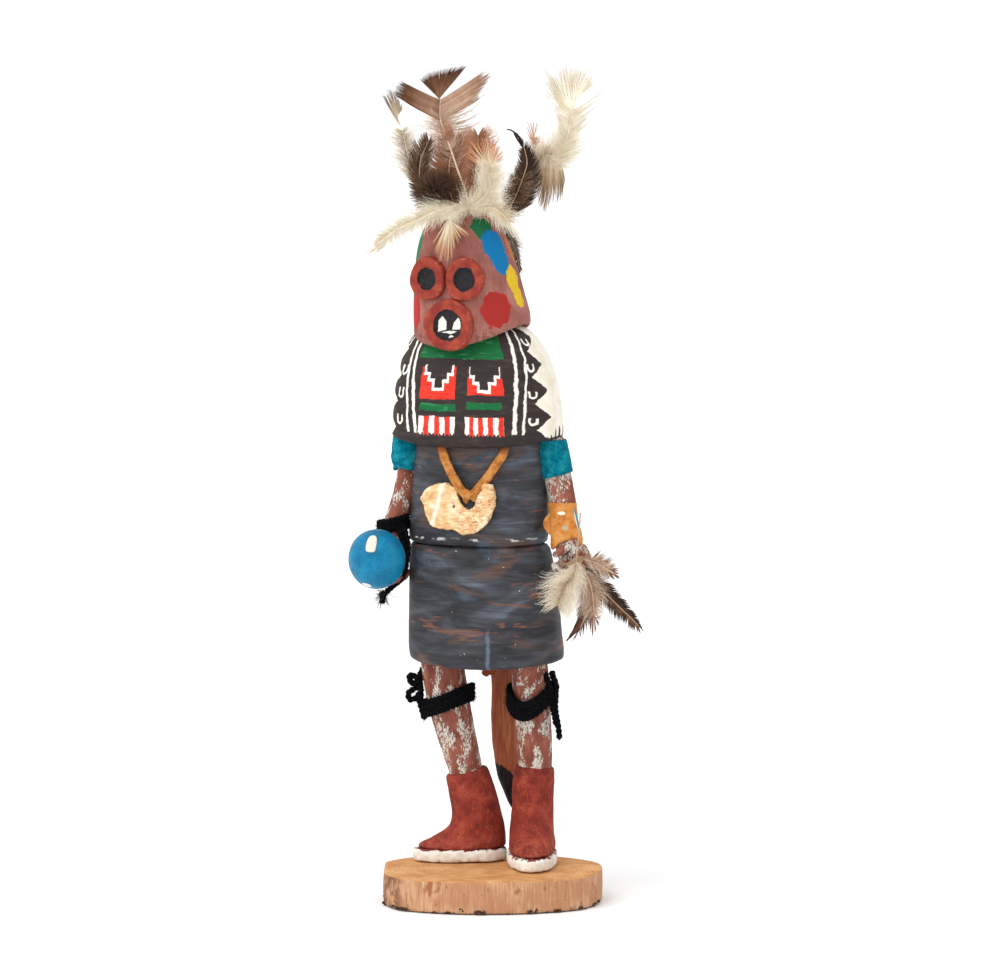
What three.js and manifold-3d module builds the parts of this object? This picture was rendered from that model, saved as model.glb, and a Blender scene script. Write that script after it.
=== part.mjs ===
// A kachina doll carved from cottonwood root, standing on a slice of branch. Mask, blanket, dress,
// legs and boots are one carving. Arms, eye and mouth rings, rattle, ties, shell, pelt and feathers
// are separate pieces fixed to it. Millimetres, +Z up. The doll faces -Y and its right hand is at -X.
import * as THREE from "three";
import { mergeVertices } from "three/addons/utils/BufferGeometryUtils.js";
import Module from "manifold-3d";

const wasm = await Module();
wasm.setup();

// Air between two pieces that touch.
const gap = 0.3;

// Heights of the doll's main lines above the underside of the base.
const baseTop = 13.5;
const footLine = baseTop + gap;
const soleThickness = 5.5;
const hemLine = 97;
const waistLine = 144.5;
const blanketHem = 185.5;
const maskRim = 228.6;
const crown = 279.4;

// Base: an oval slice of branch, turned a little from the doll's front, with one end sawn flat.
const base = { halfLength: 44.6, halfDepth: 31.2, x: 3.9, y: -7.8, turn: 20, flatEnd: 0.95 };

// Dress: half widths and half depths of the skirt and the bodice.
const skirt = { hemWidth: 31.8, hemDepth: 22.4, waistWidth: 28.8, waistDepth: 20.6, droop: 2.3 };
const bodice = { width: 27.1, depth: 19.7, topWidth: 26, topDepth: 19.1, x: -3.6 };

// Blanket over the shoulders.
const blanket = { hemWidth: 35.2, hemDepth: 23.5, x: -4, droop: 3 };

// Mask: a bucket shape that leans to the doll's right and forward.
const mask = { width: 23.5, depth: 22.8, backOverhang: 1.2, rimSag: 6.2, rimTip: 2.5 };

// Rings glued to the mask round the eyes and the mouth.
const eyeRing = { width: 7.5, height: 8.3, bore: 4.2, wall: 3.2, depth: 9 };
const mouthRing = { width: 9.7, height: 10.1, bore: 5.7, wall: 3, depth: 9 };
const recess = 1.8;

// Limbs and what they carry.
const armWidth = 4.9;
const rattle = { x: -35.6, y: -30, z: 138.9, radius: 11.5, stretch: 1.04, handle: 2.4 };
const yarn = 1.5;
const feltThickness = 1.7;
const leatherThickness = 1.5;

// Feathers: a quill and a thin vane.
const quill = 0.9;

// Points round each ring of the carving and of the small ties.
const bodySides = 24;
const maskSides = 20;
const bootSides = 14;
const tieSides = 6;

// The same rounded square power for cos and sin: 2 is an ellipse, more is boxier.
function squared(value, power) {
  return Math.sign(value) * Math.abs(value) ** (2 / power);
}

// One closed ring of a stacked form, in a level plane. a is the half width across, b the half depth
// in front and back the half depth behind. sag lowers front and back, tip raises the +X side and
// pitch raises the back. taper widens the front.
function levelRing(level, count) {
  const { x = 0, y = 0, z, a, b, back = b, square = 2, sag = 0, tip = 0, pitch = 0, taper = 0 } = level;
  const turn = THREE.MathUtils.degToRad(level.turn ?? 0);
  const ring = [];
  for (let i = 0; i < count; i += 1) {
    const angle = (2 * Math.PI * i) / count;
    const sin = Math.sin(angle);
    const cos = Math.cos(angle);
    const across = squared(cos, square) * a * (1 - taper * sin);
    const along = squared(sin, square) * (sin < 0 ? b : back);
    ring.push([
      x + across * Math.cos(turn) - along * Math.sin(turn),
      y + across * Math.sin(turn) + along * Math.cos(turn),
      z - sag * sin * sin + tip * cos + pitch * sin,
    ]);
  }
  return ring;
}

// A closed mesh as a solid that can be joined and cut.
function solid(points, faces) {
  return new wasm.Manifold(
    new wasm.Mesh({
      numProp: 3,
      vertProperties: new Float32Array(points.flat()),
      triVerts: new Uint32Array(faces),
    }),
  );
}

function middle(ring) {
  return [0, 1, 2].map((k) => ring.reduce((sum, p) => sum + p[k], 0) / ring.length);
}

// Moves every point outwards, a little more than grow so that edges clear it too.
function swell(points, faces, grow) {
  const outward = points.map(() => new THREE.Vector3());
  for (let i = 0; i < faces.length; i += 3) {
    const corners = [0, 1, 2].map((k) => new THREE.Vector3(...points[faces[i + k]]));
    const [a, b, c] = corners;
    const normal = b.clone().sub(a).cross(c.clone().sub(a));
    for (let k = 0; k < 3; k += 1) outward[faces[i + k]].add(normal);
  }
  return points.map((p, i) => {
    const normal = outward[i].normalize();
    return new THREE.Vector3(...p).addScaledVector(normal, 1.35 * grow).toArray();
  });
}

// Skins a row of rings with as many points each. A looped row closes on itself, any other is capped.
function loft(rings, { looped = false, grow = 0 } = {}) {
  const count = rings[0].length;
  const rows = rings.length;
  const points = rings.flat();
  const faces = [];
  for (let row = 0; row < (looped ? rows : rows - 1); row += 1) {
    const low = row * count;
    const high = ((row + 1) % rows) * count;
    for (let i = 0; i < count; i += 1) {
      const j = (i + 1) % count;
      faces.push(low + i, low + j, high + j);
      faces.push(low + i, high + j, high + i);
    }
  }
  if (!looped) {
    const first = points.push(middle(rings[0])) - 1;
    const last = points.push(middle(rings.at(-1))) - 1;
    const top = (rows - 1) * count;
    for (let i = 0; i < count; i += 1) {
      const j = (i + 1) % count;
      faces.push(first, j, i);
      faces.push(last, top + i, top + j);
    }
  }
  return solid(grow > 0 ? swell(points, faces, grow) : points, faces);
}

// A form stacked from level rings. grow swells it on every side.
function stack(levels, count, grow = 0) {
  const rings = levels.map((level) => levelRing(level, count));
  return loft(rings, { grow });
}

// A form swept along a smooth curve through keys of [x, y, z, half width, half thickness].
// face is the way the thin side looks.
function sweep(keys, { face = [0, -1, 0], steps = 8, count = 12, grow = 0, looped = false } = {}) {
  const path = new THREE.CatmullRomCurve3(
    keys.map(([x, y, z]) => new THREE.Vector3(x, y, z)),
    looped,
  );
  const size = new THREE.CatmullRomCurve3(
    keys.map(([, , , a, b]) => new THREE.Vector3(a, b, 0)),
    looped,
  );
  const look = new THREE.Vector3(...face);
  const rings = [];
  for (let k = 0; k < (looped ? steps : steps + 1); k += 1) {
    const t = k / steps;
    const along = path.getTangent(t);
    const normal = look.clone().addScaledVector(along, -look.dot(along)).normalize();
    const across = normal.clone().cross(along);
    const { x: a, y: b } = size.getPoint(t);
    rings.push(ellipse(path.getPoint(t), across, normal, a, b, count));
  }
  return loft(rings, { looped, grow });
}

function ellipse(at, across, normal, a, b, count) {
  const ring = [];
  for (let i = 0; i < count; i += 1) {
    const angle = (2 * Math.PI * i) / count;
    const p = at
      .clone()
      .addScaledVector(across, a * Math.cos(angle))
      .addScaledVector(normal, b * Math.sin(angle));
    ring.push(p.toArray());
  }
  return ring;
}

// A three.js geometry as a solid.
function geometrySolid(geometry) {
  const bare = geometry.clone();
  bare.deleteAttribute("normal");
  bare.deleteAttribute("uv");
  const merged = mergeVertices(bare, 1e-4);
  return new wasm.Manifold(
    new wasm.Mesh({
      numProp: 3,
      vertProperties: merged.attributes.position.array,
      triVerts: new Uint32Array(merged.index.array),
    }),
  );
}

function ball([x, y, z], [a, b, c], grow = 0, detail = 12) {
  const sphere = new THREE.SphereGeometry(1, detail, Math.round(detail * 0.7));
  sphere.scale(a + grow, b + grow, c + grow);
  sphere.translate(x, y, z);
  return geometrySolid(sphere);
}

function join(...solids) {
  return solids.reduce((whole, piece) => whole.add(piece));
}

// The largest body left when the cutters are taken away.
function cut(whole, ...cutters) {
  const left = cutters.reduce((rest, cutter) => rest.subtract(cutter), whole);
  const bodies = left.decompose();
  return bodies.reduce((best, body) => (body.volume() > best.volume() ? body : best));
}

// ---- The carving ----

function skirtForm(grow = 0) {
  const { hemWidth, hemDepth, waistWidth, waistDepth, droop } = skirt;
  const square = 2.25;
  return stack(
    [
      { x: 0, z: hemLine - 0.6, a: hemWidth - 1.6, b: hemDepth - 1.6, sag: droop, square },
      { x: 0, z: hemLine + 1, a: hemWidth - 0.2, b: hemDepth - 0.2, sag: droop, square },
      { x: -0.2, z: hemLine + 5, a: hemWidth, b: hemDepth, sag: droop * 0.8, square },
      { x: -1.2, z: 120, a: hemWidth - 0.9, b: hemDepth - 0.5, sag: 0.6, square },
      { x: -3, z: waistLine - 1.4, a: waistWidth, b: waistDepth, sag: 0.6, square },
      { x: -3.2, z: waistLine, a: waistWidth - 1, b: waistDepth - 0.8, sag: 0.6, square },
    ],
    bodySides,
    grow,
  );
}

function bodiceForm(grow = 0) {
  const { width, depth, topWidth, topDepth, x } = bodice;
  const square = 2.3;
  return stack(
    [
      { x: x + 0.2, z: waistLine - 1, a: width - 1.3, b: depth - 1.2, sag: 0.6, square },
      { x: x - 0.2, z: waistLine + 2.6, a: width, b: depth, sag: 0.4, square },
      { x, z: 164, a: 26.6, b: 19.5, square },
      { x, z: 188, a: topWidth, b: topDepth, square },
    ],
    bodySides,
    grow,
  );
}

function blanketForm(grow = 0) {
  const { hemWidth, hemDepth, x, droop } = blanket;
  const square = 2.35;
  return stack(
    [
      { x, z: blanketHem, a: hemWidth - 1.1, b: hemDepth - 1.1, sag: droop, square },
      { x, z: blanketHem + 1.6, a: hemWidth, b: hemDepth, sag: droop, square },
      { x, z: 194, a: hemWidth - 0.2, b: hemDepth - 0.1, sag: 1.2, square },
      { x: -4.1, z: 202, a: 33.8, b: 23, square },
      { x: -4.4, z: 213, a: 31.9, b: 22, square },
      { x: -4.8, z: 221.4, a: 29, b: 19.2, square },
      { x: -5.2, z: 227.4, a: 24.8, b: 16.6, square },
      { x: -5.5, z: 233, a: 17, b: 12, square },
    ],
    bodySides,
    grow,
  );
}

function maskForm(grow = 0) {
  const { width, depth, backOverhang, rimSag, rimTip } = mask;
  const levels = [
    { x: -5.4, y: -2.4, z: maskRim + 3, a: 18.5, b: 17.6, sag: rimSag - 1, tip: rimTip },
    { x: -5.4, y: -2.4, z: maskRim, a: width - 1.1, b: depth - 1, sag: rimSag, tip: rimTip },
    { x: -5.5, y: -2.5, z: maskRim + 1.8, a: width, b: depth, sag: rimSag - 0.3, tip: rimTip },
    { x: -5.7, y: -2.6, z: 237, a: 23.1, b: 22.4, sag: 3, tip: 1.2 },
    { x: -6.3, y: -3, z: 244, a: 22.2, b: 21.6, sag: 0.8 },
    { x: -6.9, y: -3.5, z: 250.5, a: 21.3, b: 20.7 },
    { x: -7.8, y: -4, z: 258, a: 19.7, b: 19.2 },
    { x: -8.5, y: -4.5, z: 265.4, a: 17.5, b: 17.1 },
    { x: -8.9, y: -4.9, z: 271.6, a: 14.6, b: 14.2 },
    { x: -9, y: -5, z: 276.4, a: 9.8, b: 9.6 },
    { x: -9, y: -5, z: crown, a: 3, b: 3 },
  ];
  return stack(
    levels.map((level) => ({ ...level, back: level.b + backOverhang })),
    maskSides,
    grow,
  );
}

// Each leg leans from the skirt into its boot.
const legs = {
  right: [
    [-19.6, -1, 101, 8.9, 8.4],
    [-18.6, -0.3, 92, 8.8, 8.4],
    [-16.2, 1.9, 74, 8.3, 8.2],
    [-11.6, 5.4, 52, 6.9, 7],
    [-10.2, 6.2, 45, 6.6, 6.6],
  ],
  left: [
    [17.9, -0.6, 101, 7.6, 7.6],
    [18, 0.4, 92, 7.5, 7.6],
    [18.2, 4.4, 72, 7.2, 7.4],
    [17.7, 7.9, 54, 6.9, 7],
    [17.2, 9, 46, 6.6, 6.6],
  ],
};

function legForm(side, grow = 0) {
  return sweep(legs[side], { steps: 4, count: 12, grow });
}

// A boot stands along its own foot line. Its upper rises from the toe to the shaft.
function bootForm(levels, turn, grow = 0) {
  return stack(
    levels.map((level) => ({ ...level, turn })),
    bootSides,
    grow,
  );
}

const rightBoot = {
  turn: -63,
  sole: { x: -6.1, y: 8.4, b: 27.6, back: 11, a: 10, taper: 0.1, square: 2.15 },
  upper: [
    { x: -6.1, y: 8.4, z: 19, b: 26.4, back: 10.6, a: 9.4, taper: 0.1, square: 2.15 },
    { x: -6.1, y: 8.4, z: 20.8, b: 25, back: 10.7, a: 9.2, taper: 0.08 },
    { x: -6.1, y: 8.4, z: 23.6, b: 18.6, back: 10.6, a: 9, taper: 0.05 },
    { x: -6.1, y: 8.4, z: 26.6, b: 13.4, back: 10.2, a: 9 },
    { x: -6.2, y: 8.4, z: 30, b: 10.8, back: 9.8, a: 9.2 },
    { x: -8, y: 7.3, z: 39.6, b: 9.6, back: 9.2, a: 9, pitch: 0.7 },
    { x: -10.9, y: 5.8, z: 49.6, b: 9, back: 8.8, a: 8.8, pitch: 1.9 },
    { x: -11.1, y: 5.7, z: 50.6, b: 8, back: 7.8, a: 7.8, pitch: 1.9 },
  ],
};

const leftBoot = {
  turn: 20,
  sole: { x: 15.3, y: 10.9, b: 29.4, back: 10, a: 10.2, taper: 0.1, square: 2.15 },
  upper: [
    { x: 15.3, y: 10.9, z: 19, b: 28.2, back: 9.6, a: 9.6, taper: 0.1, square: 2.15 },
    { x: 15.3, y: 10.9, z: 21.4, b: 26.6, back: 9.6, a: 9.4, taper: 0.08 },
    { x: 15.3, y: 10.9, z: 24.8, b: 20.4, back: 9.4, a: 9.1, taper: 0.05 },
    { x: 15.3, y: 10.9, z: 28, b: 14.4, back: 9.2, a: 8.8 },
    { x: 15.4, y: 10.7, z: 31.5, b: 10.6, back: 9, a: 8.6 },
    { x: 16.1, y: 9.7, z: 41, b: 9, back: 8.7, a: 8.4 },
    { x: 17.2, y: 8.2, z: 52.6, b: 8.6, back: 8.5, a: 8.4, tip: -0.4 },
    { x: 17.3, y: 8.1, z: 53.6, b: 7.6, back: 7.5, a: 7.4, tip: -0.4 },
  ],
};

function boot({ turn, sole, upper }) {
  const soleForm = bootForm(
    [
      { ...sole, z: footLine },
      { ...sole, z: footLine + soleThickness - 0.6 },
      { ...sole, z: footLine + soleThickness, a: sole.a - 0.5, b: sole.b - 0.5, back: sole.back - 0.5 },
    ],
    turn,
  );
  return join(soleForm, bootForm(upper, turn));
}

// One solid, without the sliver of air that the mask's rim shuts in.
function carving() {
  const forms = join(
    maskForm(),
    blanketForm(),
    bodiceForm(),
    skirtForm(),
    legForm("right"),
    legForm("left"),
    boot(rightBoot),
    boot(leftBoot),
  );
  return cut(forms);
}

// ---- The base ----

function baseForm() {
  const { halfLength, halfDepth, x, y, turn, flatEnd } = base;
  const shape = new THREE.Shape();
  const count = 28;
  for (let i = 0; i < count; i += 1) {
    const angle = (2 * Math.PI * i) / count;
    const wave = 1 + 0.018 * Math.sin(3 * angle + 0.7) + 0.01 * Math.sin(7 * angle);
    const across = Math.max(halfLength * wave * squared(Math.cos(angle), 2.5), -halfLength * flatEnd);
    const along = halfDepth * wave * squared(Math.sin(angle), 2.5);
    if (i === 0) shape.moveTo(across, along);
    else shape.lineTo(across, along);
  }
  const bevel = 0.9;
  const slab = new THREE.ExtrudeGeometry(shape, {
    depth: baseTop - 2 * bevel,
    bevelThickness: bevel,
    bevelSize: bevel,
    bevelOffset: -bevel,
    bevelSegments: 1,
  });
  slab.translate(0, 0, bevel);
  slab.rotateZ(THREE.MathUtils.degToRad(turn));
  slab.translate(x, y, 0);
  return geometrySolid(slab);
}

// ---- Eye and mouth rings ----

// A thick oval ring that looks along -Y, turned about Z. Its bore is blind.
function ringForm({ width, height, bore, wall, depth }, [x, y, z], turn, grow = 0) {
  const sections = [
    [-wall, 1.3],
    [-wall + 0.5, 0.3],
    [-wall + 1.4, 0],
    [depth, 0.4],
  ];
  const rims = sections.map(([front, less]) => ovalRing(width - less, height - less, front));
  const hole = [-wall - 2, -wall + recess].map((front) => ovalRing(bore, bore * (height / width), front));
  const whole = grow > 0 ? loft(rims, { grow }) : loft(rims).subtract(loft(hole));
  return whole.rotate([0, 0, turn]).translate([x, y, z]);
}

function ovalRing(a, c, y) {
  const ring = [];
  const count = 14;
  for (let i = 0; i < count; i += 1) {
    const angle = (2 * Math.PI * i) / count;
    ring.push([a * Math.cos(angle), y, c * Math.sin(angle)]);
  }
  return ring.reverse();
}

const ringPlaces = {
  eyeRight: { size: eyeRing, at: [-16.4, -21.9, 250.5], turn: -14 },
  eyeLeft: { size: { ...eyeRing, height: 8.7 }, at: [-1.1, -22.6, 250.3], turn: 12 },
  mouth: { size: mouthRing, at: [-6.9, -23.6, 232.2], turn: -2 },
};

function maskRing(name, ...others) {
  const { size, at, turn } = ringPlaces[name];
  const neighbours = others.map((other) => {
    const place = ringPlaces[other];
    return ringForm(place.size, place.at, place.turn, gap);
  });
  return cut(ringForm(size, at, turn), maskForm(gap), blanketForm(gap), ...neighbours);
}

// ---- Arms and what they wear ----

const arms = {
  right: [
    [-34.4, -2.8, 187, 4.9, 5],
    [-34.4, -3, 180, 4.9, 5],
    [-34.4, -3.4, 169, 4.9, 5],
    [-35.4, -5, 159, 4.8, 4.8],
    [-36.6, -8.2, 150, 4.6, 4.6],
    [-36, -12.4, 141, 4.8, 4.8],
    [-35.6, -13.6, 135, 4.4, 4.6],
  ],
  left: [
    [25.6, 2.4, 187, 5.8, 4.8],
    [26.4, 2.2, 180, 5.9, 4.8],
    [28.2, 1.8, 171, 5.8, 4.8],
    [30.2, 1, 162, 5.4, 4.6],
    [33.2, -1.4, 149, 5, 4.4],
    [35.4, -2.8, 140, 4.8, 4.6],
  ],
};
const fists = {
  right: { at: [-35.4, -14, 134.6], size: [6.1, 7.2, 6.6] },
  left: { at: [36, -3, 139.6], size: [5.9, 6.2, 6.4] },
};

function armForm(side, grow = 0) {
  const { at, size } = fists[side];
  return join(sweep(arms[side], { steps: 6, count: 10, grow }), ball(at, size, grow, 10));
}

function rattleHandle(grow = 0) {
  const { x, y, z, handle } = rattle;
  const keys = [
    [x, y + 4, z - 1, handle, handle],
    [x + 0.2, y + 16, z - 4.2, handle, handle],
    [x + 0.6, y + 27, z - 8, handle, handle],
  ];
  return sweep(keys, { face: [0, 0, 1], steps: 2, count: 8, grow });
}

function rattleBall(grow = 0) {
  const { x, y, z, radius, stretch } = rattle;
  return ball([x, y, z], [radius, radius, radius * stretch], grow, 16);
}

function body(grow) {
  return join(skirtForm(grow), bodiceForm(grow), blanketForm(grow));
}

function arm(side) {
  const whole = armForm(side);
  if (side === "left") return cut(whole, body(gap), ...handQuills(gap));
  return cut(whole, body(gap), rattleHandle(gap), rattleBall(gap));
}

// A strip of felt folded round the arm under the blanket.
function armband(side) {
  const keys = {
    right: [
      [-34.6, -3.8, 186, 6.4, 7],
      [-34.5, -4.2, 179.4, 6.9, 7.7],
      [-34.2, -3.9, 173.4, 5.9, 6.5],
    ],
    left: [
      [25.6, 2, 186, 6.8, 6.8],
      [26.2, 1.6, 179, 7.3, 7.2],
      [27.6, 1.4, 171, 6.6, 6.4],
    ],
  }[side];
  const band = sweep(keys, { steps: 3, count: 12 });
  return cut(band, armForm(side, gap), body(gap));
}

// A leather cuff with a pointed lower edge, wrapped over the left forearm.
function guardForm(grow = 0) {
  const thick = leatherThickness;
  const keys = [
    [30.5, 0.6, 160.4, 5.7 + thick, 4.9 + thick],
    [31.5, -0.2, 156, 5.5 + thick, 4.8 + thick],
    [32.9, -1.2, 151, 5.5 + thick, 4.9 + thick],
    [34.2, -2, 146.4, 6.3 + thick, 5.8 + thick],
  ];
  const sleeve = sweep(keys, { steps: 3, count: 12, grow });
  if (grow > 0) return sleeve;
  const notch = [
    [32, -14, 143],
    [35, -14, 149],
    [38, -14, 143],
  ];
  const back = notch.map(([x, y, z]) => [x, y + 12, z]);
  return sleeve.subtract(loft([notch, back]));
}

function wristGuard() {
  return cut(guardForm(), armForm("left", gap), bodiceForm(gap));
}

// Wool wrapped round the right wrist, with one strand down over the fist and a loose tail.
function wristYarn() {
  const wrap = [
    [-43.2, -8.6, 149, yarn * 0.8, yarn * 1.6],
    [-37.4, -14.8, 150.4, yarn * 0.8, yarn * 1.6],
    [-30.8, -9.4, 152, yarn * 0.8, yarn * 1.6],
    [-36.2, -2.4, 150.6, yarn * 0.8, yarn * 1.6],
  ];
  const strand = [
    [-31.6, -12, 151, yarn, yarn],
    [-28.2, -15.4, 145.4, yarn, yarn],
    [-28, -16.4, 138, yarn, yarn],
    [-30.4, -15.2, 130.4, yarn, yarn],
    [-35.4, -13.4, 126.2, yarn, yarn],
    [-39, -14, 122.6, yarn, yarn],
    [-39.6, -15, 118.6, yarn * 0.8, yarn * 0.8],
  ];
  const wool = join(
    sweep(wrap, { face: [0, 0, 1], steps: 12, count: tieSides, looped: true }),
    sweep(strand, { face: [-1, -0.4, 0], steps: 9, count: tieSides }),
  );
  return cut(wool, armForm("right", gap), rattleBall(gap), rattleHandle(gap), body(gap));
}

// ---- Ties round the legs ----

function garterLoop(side, thickness) {
  const loops = {
    right: { x: -17.2, y: 1.2, z: 79.2, a: 10.1, b: 9.9, rise: 3.6, droop: 0.6 },
    left: { x: 18.2, y: 2.4, z: 83.6, a: 9.2, b: 9.6, rise: 0.6, droop: 6.2 },
  };
  const { x, y, z, a, b, rise, droop } = loops[side];
  const keys = [];
  const count = 8;
  for (let i = 0; i < count; i += 1) {
    const angle = (2 * Math.PI * i) / count;
    const front = Math.max(0, -Math.sin(angle));
    keys.push([
      x + a * Math.cos(angle),
      y + b * Math.sin(angle),
      z + rise * Math.cos(angle) - droop * front * front,
      thickness * 0.45,
      thickness,
    ]);
  }
  return sweep(keys, { face: [0, 0, 1], steps: 12, count: tieSides, looped: true });
}

function garter(side) {
  const thickness = side === "right" ? 2.5 : 3.1;
  const trims = {
    right: [
      ball([-28, -2.4, 83.6], [3.4, 3, 4.8], 0, 6),
      sweep(
        [
          [-27.4, -3.4, 90, 1.3, 1.3],
          [-27.2, -3.6, 80, 1.4, 1.4],
          [-26.4, -3, 72.4, 1.1, 1.1],
        ],
        { face: [-1, 0, 0], steps: 4, count: tieSides },
      ),
    ],
    left: [
      ball([27.2, 1.4, 87], [3.6, 3.4, 5.2], 0, 6),
      sweep(
        [
          [27.4, 1.2, 86, 1.5, 1.5],
          [28.6, 1.4, 76, 1.4, 1.4],
          [30.2, 2.6, 65.6, 1, 1],
        ],
        { face: [1, 0, 0], steps: 4, count: tieSides },
      ),
    ],
  };
  return cut(join(garterLoop(side, thickness), ...trims[side]), legForm(side, gap));
}

// ---- Pendant ----

function thong() {
  const strap = { face: [0, -1, 0], steps: 5, count: tieSides };
  const wearer = [
    [-11.6, -20.2, 184.6, 2.1, 0.7],
    [-10.9, -20.9, 181, 2.2, 0.7],
    [-7.4, -22, 174, 2.2, 0.7],
    [-3.2, -22.6, 167.6, 2.1, 0.8],
    [0.6, -23, 163.6, 1.6, 0.8],
  ];
  const other = [
    [14, -17, 184.6, 2.1, 0.7],
    [13.2, -18, 181, 2.2, 0.7],
    [9.2, -20.6, 174, 2.2, 0.7],
    [4.4, -22, 167.6, 2.1, 0.8],
    [0.9, -22.8, 163.6, 1.6, 0.8],
  ];
  const knot = ball([0.9, -23.2, 164.4], [3, 2.1, 2.7], 0, 6);
  return join(sweep(wearer, strap), sweep(other, strap), knot);
}

function shellForm() {
  const outline = new THREE.Shape();
  outline.moveTo(-18.6, 162.2);
  outline.quadraticCurveTo(-17.4, 167.4, -10.6, 169);
  outline.quadraticCurveTo(-5.4, 160.6, 1, 160);
  outline.quadraticCurveTo(6.4, 160.8, 8.6, 169.4);
  outline.quadraticCurveTo(12.8, 168, 12.2, 162.4);
  outline.quadraticCurveTo(9.8, 151.6, -1.4, 149.2);
  outline.quadraticCurveTo(-6, 149.4, -9.2, 151.4);
  outline.quadraticCurveTo(-15.4, 155.4, -18.6, 162.2);
  const bevel = 1.1;
  const plate = new THREE.ExtrudeGeometry(outline, {
    depth: 1.1,
    curveSegments: 3,
    bevelThickness: bevel,
    bevelSize: bevel,
    bevelOffset: -bevel,
    bevelSegments: 2,
  });
  plate.rotateX(Math.PI / 2);
  plate.translate(0, -20.6, 0);
  return geometrySolid(plate);
}

// ---- Fox pelt hanging from the back of the waist ----

function pelt() {
  const keys = [
    [-0.8, 19.8, 142, 4.6, 1.5],
    [-0.8, 23.4, 130, 6, 1.7],
    [-0.6, 24.4, 112, 6.6, 1.9],
    [-0.5, 24.4, 96, 6.8, 2],
    [-0.4, 23.8, 80, 6.6, 2.2],
    [0, 23.4, 62, 6.6, 2.6],
    [1, 23.4, 48, 5.6, 2.6],
    [2.4, 23.6, 38, 3.2, 1.8],
    [3.4, 23.8, 31.6, 0.8, 0.7],
  ];
  const paw = ball([-7.8, 22.6, 89], [2.6, 1.6, 2], 0, 6);
  const hide = sweep(keys, { face: [0, -1, 0], steps: 10, count: 8 });
  return cut(join(hide, paw), skirtForm(gap), bodiceForm(gap));
}

// ---- Feathers ----

// Away from the front of the doll's left side, the way most vanes look.
const vaneFace = [0.34, -0.94, 0];

function feather(keys, { face = vaneFace, steps = 8, grow = 0 } = {}) {
  return sweep(keys, { face, steps, count: 6, grow });
}

function quillKeys(...points) {
  return points.map(([x, y, z]) => [x, y, z, quill, quill]);
}

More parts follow.
